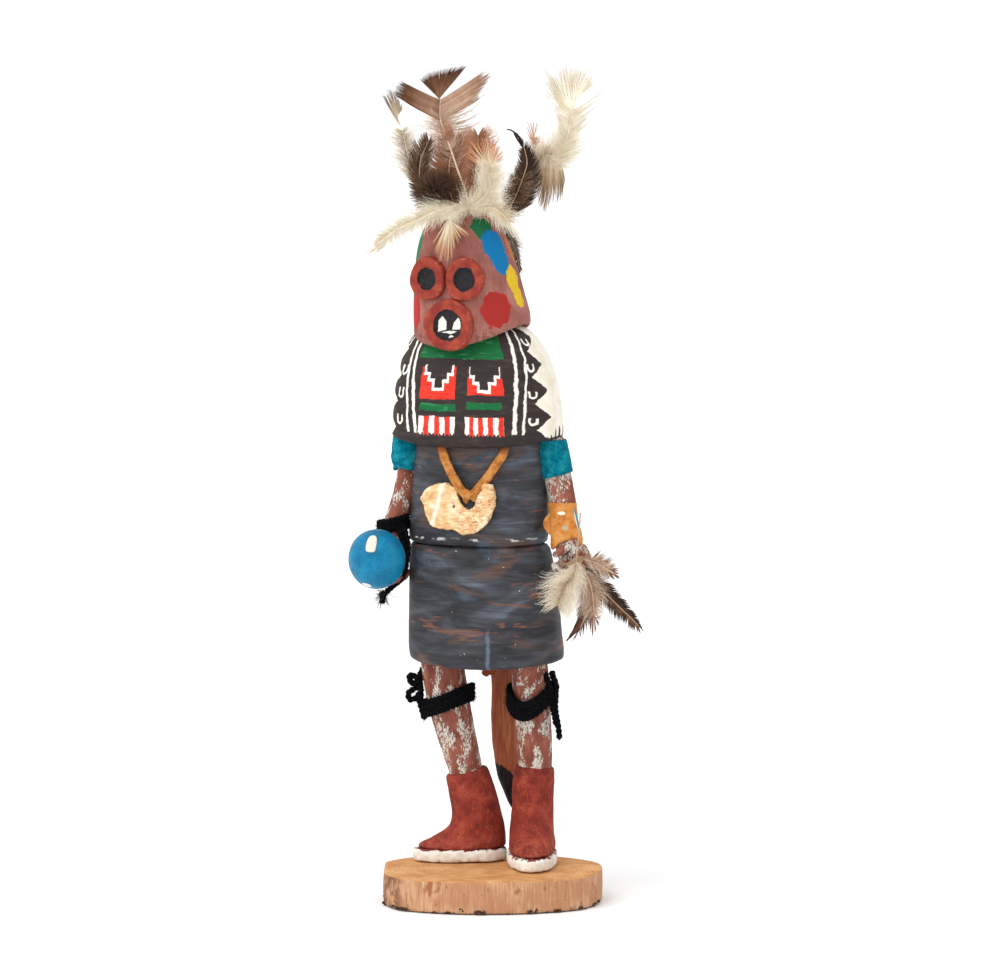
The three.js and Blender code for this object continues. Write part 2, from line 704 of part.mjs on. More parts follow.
// Each feather is one or more vanes that share a quill, from the crown outwards.
const crestFeathers = {
  feather_crest: [
    {
      keys: [
        ...quillKeys([-7.1, -2.6, 277], [-8.6, -3.1, 286]),
        [-12, -3, 295, 2.6, 1.5],
        [-15, -3, 303, 4.6, 2],
        [-17.6, -3.2, 312, 2.2, 1.4],
        [-18.2, -3.4, 320, 2.4, 1],
        [-17.3, -3.1, 332.6, 9.4, 0.8],
      ],
      steps: 9,
    },
    {
      keys: [
        [-16.6, -3.4, 310, 1.2, 1],
        [-21, -5, 314.6, 2.6, 1.1],
        [-28.4, -8, 320, 2.9, 1.1],
        [-34.4, -10.8, 322.8, 1.4, 0.8],
      ],
      steps: 4,
    },
    {
      keys: [
        [-17.6, -3.4, 310.4, 1.2, 1],
        [-13.4, -1.4, 316, 2.8, 1.1],
        [-6.4, 2, 322.6, 3.2, 1.1],
        [0, 4.8, 328.6, 2, 0.8],
      ],
      steps: 4,
    },
  ],
  feather_grey: [
    {
      keys: [
        ...quillKeys([-12, -8, 276], [-21, -11.4, 281]),
        [-25.6, -15.6, 289.7, 1.1, 0.9],
        [-26.6, -18.2, 300, 4.4, 2.2],
        [-29.2, -19.2, 309, 4.6, 2],
        [-31, -19.8, 316, 2.4, 1],
        [-34, -21, 323, 5, 0.8],
      ],
      steps: 8,
    },
  ],
  feather_smoke: [
    {
      keys: [
        ...quillKeys([-14.4, -9, 274.4], [-18.4, -15.6, 281]),
        [-22, -18, 290, 3.4, 1],
        [-21.4, -17, 298.6, 3.8, 1],
        [-18, -14, 305.4, 1.4, 0.8],
      ],
    },
  ],
  feather_brown: [
    {
      keys: [
        ...quillKeys([-11.4, -6.4, 278.4]),
        [-12.8, -9.4, 286, 6, 3.4],
        [-12, -8.6, 297, 6.4, 3.4],
        [-9.8, -7, 307, 2.6, 1.6],
      ],
      steps: 7,
    },
  ],
  feather_umber: [
    {
      keys: [
        ...quillKeys([-7.4, -0.4, 279]),
        [-6, 3.2, 287, 5.6, 3],
        [-5, 5.4, 298, 5.4, 2.8],
        [-5.6, 7, 308.4, 2, 1.4],
      ],
      steps: 7,
    },
  ],
  feather_fan: [
    {
      keys: [
        ...quillKeys([-5.4, -9, 277]),
        [-1.4, -14.2, 279.4, 3.6, 1.6],
        [5.6, -15.6, 285, 4.4, 1.8],
        [8, -15.4, 292.6, 3.2, 1.4],
        [5, -15.2, 300, 5.2, 1],
        [1, -15.6, 305, 8.4, 0.8],
      ],
      steps: 8,
    },
  ],
  feather_sweep: [
    {
      keys: [
        ...quillKeys([-4, -10.6, 277.6]),
        [-4.6, -17.2, 279.8, 3, 1.4],
        [-14.6, -24.4, 276, 4.4, 1.8],
        [-25, -29.6, 269.4, 3.8, 1.6],
        [-34, -33.4, 262, 3, 1.2],
        [-41, -36, 256.6, 1.2, 0.8],
      ],
      steps: 8,
    },
  ],
  feather_brow: [
    {
      keys: [
        ...quillKeys([-6.8, -12.4, 276.8]),
        [-6.4, -21.4, 276, 2, 1],
        [-4.8, -26.4, 271, 6, 1.2],
        [-3.6, -28.8, 263.4, 8.4, 1],
        [-4.8, -29.4, 257.6, 2.4, 0.8],
      ],
      face: [0.2, -0.9, 0.4],
      steps: 8,
    },
  ],
  feather_cream: [
    {
      keys: [
        ...quillKeys([-2.4, -9.4, 276.4]),
        [6.4, -16.6, 276.6, 1.6, 0.9],
        [14, -18.6, 272.6, 3.4, 1.3],
        [19.6, -17.4, 267.6, 4.2, 1.2],
        [23.4, -15.6, 262.4, 3, 0.8],
      ],
      steps: 9,
    },
  ],
  feather_horn: [
    {
      keys: [
        ...quillKeys([3.6, -3.8, 273.6]),
        [11.6, -2.6, 278, 1.2, 0.9],
        [17.8, -2.6, 287, 3.8, 1.2],
        [18.8, -3, 297, 4.6, 1.2],
        [13.4, -4.6, 305.6, 2.8, 1],
        [9.6, -5.2, 308.6, 0.9, 0.8],
      ],
      steps: 10,
    },
  ],
  feather_white: [
    {
      keys: [
        ...quillKeys([3.8, 1.4, 271.6], [14, 5.2, 281.6], [22.6, 7.4, 294.6]),
        [28.4, 8.6, 304, 3, 1.2],
        [33, 9.6, 313.6, 3.4, 1.2],
        [33.6, 8.8, 324, 4.6, 1],
        [31.8, 7.2, 332.6, 8, 0.8],
      ],
      steps: 10,
    },
    {
      keys: [
        [31, 8.8, 308, 0.9, 0.8],
        [37, 11, 315, 3.2, 1],
        [43.4, 13, 321.4, 1.6, 0.8],
      ],
      steps: 4,
    },
  ],
  feather_droop: [
    {
      keys: [
        ...quillKeys([3.4, 5, 271], [11, 10.8, 280]),
        [19.6, 14, 290, 2.6, 1.6],
        [24.4, 14.4, 294.6, 5, 2],
        [27, 13.6, 287.6, 4.4, 1.6],
        [25.4, 12.4, 279.4, 4.4, 1.2],
        [22.4, 10.6, 272, 1.6, 0.8],
      ],
      steps: 9,
    },
  ],
  feather_spike: [
    {
      keys: [
        ...quillKeys([0.6, 8.4, 272], [8.4, 16, 283]),
        [13.8, 18, 294, 2.4, 1],
        [14.6, 18.2, 303, 2.6, 1],
        [12.4, 17.3, 314, 0.8, 0.7],
      ],
      steps: 8,
    },
  ],
  feather_nape: [
    {
      keys: [
        ...quillKeys([-1, 9.4, 271.6]),
        [5.6, 12.8, 268, 2, 0.9],
        [9.6, 15, 259.6, 3.4, 1],
        [11.2, 16.4, 249.4, 1.6, 0.8],
      ],
      face: [0.6, 0.8, 0],
      steps: 7,
    },
  ],
};

function featherForm(vanes, grow = 0) {
  return join(...vanes.map(({ keys, face, steps }) => feather(keys, { face, steps, grow })));
}

function tuft(grow = 0) {
  return ball([-13, -17.4, 284.6], [8, 6.6, 6.8], grow, 10);
}

// Feathers are set one after another: each is cut clear of the mask, the rings and those before it.
function crest() {
  const obstacles = [maskForm(gap)];
  for (const { size, at, turn } of Object.values(ringPlaces)) {
    obstacles.push(ringForm(size, at, turn, gap));
  }
  const made = { feather_tuft: cut(tuft(), ...obstacles) };
  obstacles.push(tuft(gap));
  for (const [name, vanes] of Object.entries(crestFeathers)) {
    made[name] = cut(featherForm(vanes), ...obstacles);
    obstacles.push(featherForm(vanes, gap));
  }
  return made;
}

const handFeathers = {
  hand_feather_quill: [
    {
      keys: [
        ...quillKeys([42.4, -9, 159], [41.6, -9.6, 147.2]),
        [40.4, -9.6, 139.6, 5.4, 0.9],
        [39, -9.6, 133.6, 3.4, 1.4],
        [35.6, -9.4, 126.6, 7.2, 2.2],
        [33.4, -9.6, 118.6, 4.4, 1.4],
      ],
      steps: 8,
    },
  ],
  hand_feather_dark: [
    {
      keys: [
        ...quillKeys([41.4, -1, 137.4]),
        [45.8, 1.2, 129.6, 2.6, 1],
        [52, 4.6, 122, 3.8, 1.2],
        [58.6, 8, 114.6, 3.4, 1],
        [62.8, 10, 109, 1.2, 0.8],
      ],
      steps: 8,
    },
  ],
  hand_feather_down: [
    {
      keys: [
        ...quillKeys([38.6, 1.2, 136.4]),
        [39.8, 3, 126, 2.6, 1],
        [38.6, 3.4, 115.6, 3.6, 1.2],
        [33.2, 2.4, 104.4, 1.4, 0.8],
      ],
      steps: 7,
    },
  ],
  hand_feather_pale: [
    {
      keys: [
        ...quillKeys([42.2, -3.8, 134.4]),
        [45, -3, 126, 2.4, 1],
        [44.8, -2.4, 116, 2.8, 1],
        [45.4, -1, 107.4, 1.2, 0.8],
      ],
      steps: 7,
    },
  ],
  hand_feather_side: [
    {
      keys: [
        ...quillKeys([43.2, -5.6, 139]),
        [49.2, -5, 139, 2.8, 0.9],
        [54, -4.4, 136.4, 2.4, 0.9],
        [57.8, -3.6, 132.6, 0.9, 0.7],
      ],
      steps: 6,
    },
  ],
};

// Grown copies of the feathers held in the left hand.
function handQuills(grow) {
  return Object.values(handFeathers).map((vanes) => featherForm(vanes, grow));
}

function handful() {
  const obstacles = [skirtForm(gap)];
  const made = {};
  for (const [name, vanes] of Object.entries(handFeathers)) {
    made[name] = cut(featherForm(vanes), ...obstacles);
    obstacles.push(featherForm(vanes, gap));
  }
  return made;
}

// ---- Assembly ----

const looks = {
  barkedWood: { color: 0xcaa181, roughness: 0.85 },
  paintedWood: { color: 0x8c5a4e, roughness: 0.7 },
  skin: { color: 0xa5695a, roughness: 0.75 },
  redRing: { color: 0xa14532, roughness: 0.5 },
  bluePaint: { color: 0x0e80a4, roughness: 0.4 },
  felt: { color: 0x0e939f, roughness: 0.95 },
  wool: { color: 0x1a171a, roughness: 0.98 },
  leather: { color: 0xd59650, roughness: 0.8 },
  suede: { color: 0xc38443, roughness: 0.9 },
  shell: { color: 0xefca8b, roughness: 0.25 },
  fur: { color: 0xaa5f3c, roughness: 0.9 },
  brownFeather: { color: 0xc09c84, roughness: 0.85 },
  creamFeather: { color: 0xe2dbc2, roughness: 0.85 },
  darkFeather: { color: 0x583d2e, roughness: 0.85 },
};

const doll = new THREE.Group();

function add(name, form, look) {
  const { vertProperties, triVerts } = form.getMesh();
  const geometry = new THREE.BufferGeometry();
  geometry.setAttribute("position", new THREE.BufferAttribute(vertProperties, 3));
  geometry.setIndex(new THREE.BufferAttribute(triVerts, 1));
  geometry.computeVertexNormals();
  const mesh = new THREE.Mesh(geometry, new THREE.MeshStandardMaterial({ metalness: 0, ...look }));
  mesh.name = name;
  doll.add(mesh);
}

add("base", baseForm(), looks.barkedWood);
add("figure", carving(), looks.paintedWood);
add("eye_ring_right", maskRing("eyeRight"), looks.redRing);
add("eye_ring_left", maskRing("eyeLeft", "eyeRight"), looks.redRing);
add("mouth_ring", maskRing("mouth", "eyeRight", "eyeLeft"), looks.redRing);
add("arm_right", arm("right"), looks.skin);
add("arm_left", arm("left"), looks.skin);
add("rattle", join(rattleBall(), rattleHandle()), looks.bluePaint);
add("armband_right", armband("right"), looks.felt);
add("armband_left", armband("left"), looks.felt);
add("wrist_guard", wristGuard(), looks.leather);
add("wrist_yarn", wristYarn(), looks.wool);
add("garter_right", garter("right"), looks.wool);
add("garter_left", garter("left"), looks.wool);
add("necklace_thong", cut(thong(), blanketForm(gap), bodiceForm(gap)), looks.suede);
add("shell_pendant", cut(shellForm(), thong(), bodiceForm(gap)), looks.shell);
add("fox_pelt", pelt(), looks.fur);

const featherLooks = {
  feather_sweep: looks.creamFeather,
  feather_fan: looks.creamFeather,
  feather_brow: looks.creamFeather,
  feather_cream: looks.creamFeather,
  feather_white: looks.creamFeather,
  feather_tuft: looks.darkFeather,
  feather_horn: looks.darkFeather,
  hand_feather_dark: looks.darkFeather,
};
for (const [name, form] of Object.entries({ ...crest(), ...handful() })) {
  add(name, form, featherLooks[name] ?? looks.brownFeather);
}

export default doll;
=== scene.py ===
# A kachina doll: a cottonwood root carving, painted, dressed with wool, leather, shell and feathers,
# on a sawn slice of branch. The doll faces -Y, its right hand is at -X, +Z is up.
import math
import random
import bmesh
import bpy
import numpy as np
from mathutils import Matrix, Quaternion, Vector


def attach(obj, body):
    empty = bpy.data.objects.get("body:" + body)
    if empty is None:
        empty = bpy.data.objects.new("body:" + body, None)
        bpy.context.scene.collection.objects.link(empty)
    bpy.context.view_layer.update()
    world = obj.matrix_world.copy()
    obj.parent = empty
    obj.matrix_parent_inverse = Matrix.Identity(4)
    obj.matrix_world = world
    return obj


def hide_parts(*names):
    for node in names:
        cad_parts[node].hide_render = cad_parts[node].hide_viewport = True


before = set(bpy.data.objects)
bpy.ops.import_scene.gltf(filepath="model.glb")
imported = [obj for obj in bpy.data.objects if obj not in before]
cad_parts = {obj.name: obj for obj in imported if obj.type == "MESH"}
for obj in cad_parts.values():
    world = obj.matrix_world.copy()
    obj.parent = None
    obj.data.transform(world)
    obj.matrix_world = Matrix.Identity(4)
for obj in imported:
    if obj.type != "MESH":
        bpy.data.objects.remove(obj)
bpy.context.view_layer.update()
mm = 0.001


def startClean():
    if bpy.context.object and bpy.context.object.mode != "OBJECT":
        bpy.ops.object.mode_set(mode="OBJECT")
    bpy.ops.object.select_all(action="DESELECT")


def apply(piece, kind, **settings):
    startClean()
    piece.select_set(True)
    bpy.context.view_layer.objects.active = piece
    modifier = piece.modifiers.new(kind.title(), kind)
    for key, value in settings.items():
        setattr(modifier, key, value)
    bpy.ops.object.modifier_apply(modifier=modifier.name)


def between(rows, place):
    # a smooth curve through rows of numbers, read at place from 0 to 1
    last = len(rows) - 1
    spot = min(max(place, 0), 1) * last
    index = min(int(spot), last - 1)
    t = spot - index
    a, b, c, d = (rows[min(max(index + k, 0), last)] for k in (-1, 0, 1, 2))
    return [
        0.5 * (2 * q + (r - p) * t + (2 * p - 5 * q + 4 * r - s) * t * t + (3 * q - p - 3 * r + s) * t ** 3)
        for p, q, r, s in zip(a, b, c, d)
    ]


def squarish(value, power):
    return math.copysign(abs(value) ** (2 / power), value)


def levelPoint(level, angle):
    # a point of a level ring, in millimetres: half width a, half depth b in front and back behind
    sin, cos = math.sin(angle), math.cos(angle)
    square = level.get("square", 2)
    across = squarish(cos, square) * level["a"] * (1 - level.get("taper", 0) * sin)
    along = squarish(sin, square) * (level["b"] if sin < 0 else level.get("back", level["b"]))
    turn = math.radians(level.get("turn", 0))
    lift = level.get("tip", 0) * cos + level.get("pitch", 0) * sin - level.get("sag", 0) * sin * sin
    return Vector((
        level.get("x", 0) + across * math.cos(turn) - along * math.sin(turn),
        level.get("y", 0) + across * math.sin(turn) + along * math.cos(turn),
        level["z"] + lift,
    )) * mm


def growRings(name, count, rings):
    # a disc, extruded once for each further ring, with every ring's points set in turn
    startClean()
    bpy.ops.mesh.primitive_circle_add(vertices=count, radius=1, fill_type="NGON")
    piece = bpy.context.active_object
    piece.name = name
    bpy.ops.object.mode_set(mode="EDIT")
    mesh = bmesh.from_edit_mesh(piece.data)
    angleOf = mesh.verts.layers.float.new("angle")
    for vert in mesh.verts:
        vert[angleOf] = math.atan2(vert.co.y, vert.co.x)
    for number, ring in enumerate(rings):
        if number:
            bpy.ops.mesh.extrude_region_move()
            mesh = bmesh.from_edit_mesh(piece.data)
            angleOf = mesh.verts.layers.float["angle"]
        for vert in mesh.verts:
            if vert.select:
                vert.co = ring(vert[angleOf])
    bpy.ops.mesh.select_all(action="SELECT")
    bpy.ops.mesh.normals_make_consistent(inside=False)
    bpy.ops.object.mode_set(mode="OBJECT")
    return piece


def tabled(names, *rows):
    # one level for each row of numbers; what a row leaves out keeps its usual value
    return [dict(zip(names.split(), row)) for row in rows]


def stackedForm(name, levels, count=48, smoothing=2):
    rings = [lambda angle, level=level: levelPoint(level, angle) for level in levels]
    piece = growRings(name, count, rings)
    apply(piece, "SUBSURF", levels=smoothing, render_levels=smoothing)
    return piece


def sweptForm(name, keys, face=(0, -1, 0), steps=24, count=24, smoothing=1):
    # keys of x, y, z, half width, half thickness, in millimetres
    look = Vector(face)
    rings = []
    for number in range(steps + 1):
        place = number / steps
        x, y, z, a, b = between(keys, place)
        ahead = Vector(between(keys, place + 0.02)[:3]) - Vector(between(keys, place - 0.02)[:3])
        ahead.normalize()
        normal = (look - ahead * look.dot(ahead)).normalized()
        across = normal.cross(ahead)

        def ring(angle, at=Vector((x, y, z)), a=a, b=b, across=across, normal=normal):
            return (at + across * a * math.cos(angle) + normal * b * math.sin(angle)) * mm

        rings.append(ring)
    piece = growRings(name, count, rings)
    if smoothing:
        apply(piece, "SUBSURF", levels=smoothing, render_levels=smoothing)
    return piece


def roughen(piece, amount, size):
    # the soft unevenness that a knife and sandpaper leave
    texture = bpy.data.textures.new(piece.name + "Waves", "CLOUDS")
    texture.noise_scale = size * mm
    apply(piece, "DISPLACE", texture=texture, strength=amount * mm, mid_level=0.5, texture_coords="LOCAL")


def joined(name, pieces):
    startClean()
    for piece in pieces:
        piece.select_set(True)
    bpy.context.view_layer.objects.active = pieces[0]
    bpy.ops.object.join()
    pieces[0].name = name
    return pieces[0]


def fuse(name, pieces, voxel):
    # run together as one skin, and eased as by sandpaper
    whole = joined(name, pieces)
    apply(whole, "REMESH", mode="VOXEL", voxel_size=voxel * mm)
    apply(whole, "SMOOTH", factor=0.5, iterations=3)
    return whole


def settle(piece, node, slot, look):
    startClean()
    piece.data.materials.clear()
    piece.data.materials.append(look)
    for face in piece.data.polygons:
        face.use_smooth = True
    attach(piece, "root")
    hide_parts(node)
    return piece


def paint(red, green, blue):
    # a colour as the eye reads it, 0 to 255, as linear light; the bright white room lifts all but the palest
    # tones, so they are mixed a little darker
    def linear(value):
        value /= 255
        light = value / 12.92 if value <= 0.04045 else ((value + 0.055) / 1.055) ** 2.4
        return light * (0.74 + 0.22 * light)
    return (linear(red), linear(green), linear(blue), 1)


class Field:
    # a number that changes over a surface; sums with it become Math nodes
    def __init__(self, finish, socket):
        self.finish = finish
        self.socket = socket

    def math(self, operation, *values):
        return self.finish.node("ShaderNodeMath", {"operation": operation}, dict(enumerate(values)))

    def __add__(self, other):
        return self.math("ADD", self, other)

    def __sub__(self, other):
        return self.math("SUBTRACT", self, other)

    def __rsub__(self, other):
        return self.math("SUBTRACT", other, self)

    def __mul__(self, other):
        return self.math("MULTIPLY", self, other)

    def __truediv__(self, other):
        return self.math("DIVIDE", self, other)

    def __pow__(self, other):
        return self.math("POWER", self, other)

    def __or__(self, other):
        return self.math("MAXIMUM", self, other)

    def __and__(self, other):
        return self.math("MINIMUM", self, other)

    def __abs__(self):
        return self.math("ABSOLUTE", self)

    def folded(self, size):
        # rises and falls between 0 and size
        return self.math("PINGPONG", self, size)

    __radd__ = __add__
    __rmul__ = __mul__


class Finish:
    # a material, and the fields and colours it is painted with; places are in millimetres
    def __init__(self, name, roughness=0.75, specular=0.16, sheen=0.0, coat=0.0):
        self.look = bpy.data.materials.new(name)
        self.look.use_nodes = True
        self.tree = self.look.node_tree
        self.shader = self.tree.nodes["Principled BSDF"]
        for key, value in {"Roughness": roughness, "Specular IOR Level": specular, "Sheen Weight": sheen,
                           "Sheen Roughness": 0.6, "Coat Weight": coat}.items():
            self.shader.inputs[key].default_value = value
        place = self.node("ShaderNodeTexCoord", output="Object")
        self.place = self.node("ShaderNodeVectorMath", {"operation": "SCALE"}, {0: place, "Scale": 1000.0})
        self.x, self.y, self.z = (self.node("ShaderNodeSeparateXYZ", {}, {0: self.place}, axis) for axis in "XYZ")

    def node(self, kind, settings=None, inputs=None, output=0):
        made = self.tree.nodes.new(kind)
        for key, value in (settings or {}).items():
            if key == "stops":
                ramp = made.color_ramp
                while len(ramp.elements) < len(value):
                    ramp.elements.new(0.5)
                for element, (spot, colour) in zip(ramp.elements, value):
                    element.position, element.color = spot, colour
            else:
                setattr(made, key, value)
        for key, value in (inputs or {}).items():
            if isinstance(value, Field):
                self.tree.links.new(value.socket, made.inputs[key])
            else:
                made.inputs[key].default_value = value
        return Field(self, made.outputs[output])

    def stretched(self, stretch):
        if stretch == (1, 1, 1):
            return self.place
        shrink = [1 / s for s in stretch]
        return self.node("ShaderNodeVectorMath", {"operation": "MULTIPLY"}, {0: self.place, 1: shrink})

    def noise(self, size, stretch=(1, 1, 1), detail=3.0, rough=0.55, distortion=0.0):
        # size is that of a typical blotch, in millimetres
        return self.node("ShaderNodeTexNoise", {}, {
            "Vector": self.stretched(stretch), "Scale": 1 / size, "Detail": detail, "Roughness": rough,
            "Distortion": distortion})

    def cells(self, size, stretch=(1, 1, 1)):
        return self.node("ShaderNodeTexVoronoi", {}, {"Vector": self.stretched(stretch), "Scale": 1 / size})

    def attribute(self, name):
        return self.node("ShaderNodeAttribute", {"attribute_name": name}, output="Fac")

    def smooth(self, field, low, high):
        inputs = {"Value": field, "From Min": low, "From Max": high}
        return self.node("ShaderNodeMapRange", {"interpolation_type": "SMOOTHSTEP"}, inputs)

    def spots(self, size, low, high, **kind):
        # blotches of noise: 0 up to low, 1 from high
        return self.smooth(self.noise(size, **kind), low, high)

    def below(self, field, edge, soft=0.12):
        return self.smooth(field, edge + soft, edge - soft)

    def above(self, field, edge, soft=0.12):
        return self.smooth(field, edge - soft, edge + soft)

    def within(self, field, low, high, soft=0.12):
        middle, half = (low + high) / 2, (high - low) / 2
        return self.below(abs(field - middle), half, soft)

    def shape(self, across, up, corners, soft=0.12):
        # the inside of a straight-sided shape, its corners listed anticlockwise
        inside = None
        for (x0, y0), (x1, y1) in zip(corners, corners[1:] + corners[:1]):
            length = math.hypot(x1 - x0, y1 - y0)
            side = (across - x0) * ((y0 - y1) / length) + (up - y0) * ((x1 - x0) / length)
            inside = side if inside is None else inside & side
        return self.smooth(inside, -soft, soft)

    def patch(self, at, reach, ragged=0.75, size=2.4):
        # a blob of paint round a place, with an uneven edge
        offset = self.node("ShaderNodeVectorMath", {"operation": "SUBTRACT"}, {0: self.place, 1: at})
        offset = self.node("ShaderNodeVectorMath", {"operation": "DIVIDE"}, {0: offset, 1: reach})
        far = self.node("ShaderNodeVectorMath", {"operation": "LENGTH"}, {0: offset}, "Value")
        return self.below(far + (self.noise(size, detail=3.0) - 0.5) * ragged, 0.98, 0.05)

    def tint(self, colour):
        return paint(*colour) if isinstance(colour, tuple) else colour

    def ramp(self, field, *stops):
        # each stop is a place from 0 to 1, then red, green and blue
        stops = [(place, paint(*colour)) for place, *colour in stops]
        return self.node("ShaderNodeValToRGB", {"stops": stops}, {"Fac": field}, "Color")

    def mix(self, first, second, share):
        inputs = {0: share, 6: self.tint(first), 7: self.tint(second)}
        return self.node("ShaderNodeMix", {"data_type": "RGBA"}, inputs, 2)

    def relief(self, *layers):
        # fields and their heights in millimetres, one bump on another
        under = None
        for field, height in layers:
            inputs = {"Height": field, "Strength": 1.0, "Distance": height * mm}
            if under:
                inputs["Normal"] = under
            under = self.node("ShaderNodeBump", {}, inputs)
        if under:
            self.tree.links.new(under.socket, self.shader.inputs["Normal"])

    def colour(self, colour):
        self.tree.links.new(colour.socket, self.shader.inputs["Base Color"])

    def gloss(self, roughness):
        self.tree.links.new(roughness.socket, self.shader.inputs["Roughness"])

    def done(self, colour, *layers):
        self.colour(colour)
        self.relief(*layers)
        return self.look


class Strands:
    # many thin closed tubes, gathered as one mesh
    def __init__(self):
        self.points, self.faces, self.shades, self.count = [], [], [], 0

    def add(self, centres, width, thick, face, shade, sides=3):
        # centres: strand, station, xyz in mm. width, thick and shade: strand, station. face: xyz or strand, xyz
        number, stations = centres.shape[:2]
        ahead = np.gradient(centres, axis=1)
        ahead /= np.linalg.norm(ahead, axis=2, keepdims=True) + 1e-9
        look = np.broadcast_to(np.asarray(face, float).reshape(-1, 1, 3), centres.shape)
        across = np.cross(ahead, look)
        across /= np.linalg.norm(across, axis=2, keepdims=True) + 1e-9
        normal = np.cross(across, ahead)
        turns = [math.pi / 2 + 2 * math.pi * side / sides for side in range(sides)]
        rings = [centres + across * (width / 2 * math.cos(turn))[..., None]
                 + normal * (thick / 2 * math.sin(turn))[..., None] for turn in turns]
        rings = np.stack(rings, axis=2).reshape(-1, 3)
        start = self.count + np.arange(number)[:, None, None] * stations * sides
        ring = np.arange(stations - 1)[None, :, None] * sides
        side = np.arange(sides)[None, None, :]
        after = (side + 1) % sides
        quads = np.stack([start + ring + side, start + ring + after, start + ring + sides + after,
                          start + ring + sides + side], axis=-1).reshape(-1, 4)
        self.faces += quads.tolist()
        for first in (np.arange(sides)[::-1], np.arange(sides) + (stations - 1) * sides):
            self.faces += (start[:, 0] + first[None, :]).tolist()
        self.points.append(rings)
        self.shades.append(np.repeat(shade.reshape(-1), sides))
        self.count += len(rings)

    def piece(self, name):
        startClean()
        data = bpy.data.meshes.new(name)
        data.from_pydata(np.concatenate(self.points) * mm, [], self.faces)
        shade = data.attributes.new("shade", "FLOAT", "POINT")
        shade.data.foreach_set("value", np.concatenate(self.shades).astype(np.float32))
        piece = bpy.data.objects.new(name, data)
        bpy.context.scene.collection.objects.link(piece)
        bpy.context.view_layer.objects.active = piece
        piece.select_set(True)
        bpy.ops.object.mode_set(mode="EDIT")
        bpy.ops.mesh.select_all(action="SELECT")
        bpy.ops.mesh.normals_make_consistent(inside=False)
        bpy.ops.object.mode_set(mode="OBJECT")
        return piece


def pointsOn(rows, places):
    return np.array([between(rows, place) for place in places])


def unit(vectors):
    return vectors / (np.linalg.norm(vectors, axis=-1, keepdims=True) + 1e-9)


def addFuzz(strands, roots, out, reach, width, shade, chance):
    count = len(roots)
    length = reach * chance.random((count, 1)) ** 1.6
    s = np.linspace(0, 1, 3)[None, :, None]
    heading = unit(out + chance.normal(size=(count, 3)) * 0.7)
    curl = chance.normal(size=(count, 1, 3)) * 0.35 * length[:, None]
    centres = roots[:, None] + heading[:, None] * s * length[:, None] + curl * s * s
    widths = width * (1 - 0.6 * s[..., 0]) * np.ones((count, 1))
    shades = shade[0] + (shade[1] - shade[0]) * chance.random((count, 1)) + 0 * s[..., 0]
    strands.add(centres, widths, widths, (0.3, -0.8, 0.5), shades)


# a pale floor, an even sky and one broad soft lamp
studio = {"floorSize": 40.0, "aimHeight": 0.1673, "aimOut": 0.0052, "azimuth": 20, "elevation": 5.5,
          "distance": 1.9, "lens": 171, "sky": 1.0, "key": 1.5, "keyFrom": (-0.55, -1.0, 1.15), "keySize": 50}


def setStudio():
    startClean()
    bpy.ops.mesh.primitive_plane_add(size=studio["floorSize"])
    floor = bpy.context.active_object
    floor.name = "studio_floor"
    paper = Finish("studioPaper", roughness=0.95, specular=0.0)
    paper.shader.inputs["Base Color"].default_value = (0.93, 0.93, 0.93, 1)
    floor.data.materials.append(paper.look)
    a, e = math.radians(studio["azimuth"]), math.radians(studio["elevation"])
    aim = Vector((math.cos(a), math.sin(a), 0)) * studio["aimOut"] + Vector((0, 0, studio["aimHeight"]))
    toCamera = Vector((math.sin(a) * math.cos(e), -math.cos(a) * math.cos(e), math.sin(e)))
    bpy.ops.object.camera_add(location=aim + toCamera * studio["distance"])
    camera = bpy.context.active_object
    camera.rotation_euler = (-toCamera).to_track_quat("-Z", "Y").to_euler()
    camera.data.lens = studio["lens"]
    camera.data.sensor_width = 36
    bpy.context.scene.camera = camera
    world = bpy.data.worlds.new("studioLight")
    bpy.context.scene.world = world
    world.use_nodes = True
    world.node_tree.nodes["Background"].inputs["Color"].default_value = (1, 1, 1, 1)
    world.node_tree.nodes["Background"].inputs["Strength"].default_value = studio["sky"]
    bpy.ops.object.light_add(type="SUN")
    lamp = bpy.context.active_object
    lamp.data.energy = studio["key"]
    lamp.data.angle = math.radians(studio["keySize"])
    lamp.rotation_euler = Vector(studio["keyFrom"]).to_track_quat("Z", "Y").to_euler()
    bpy.context.scene.view_settings.view_transform = "Standard"


setStudio()
print("studio set")


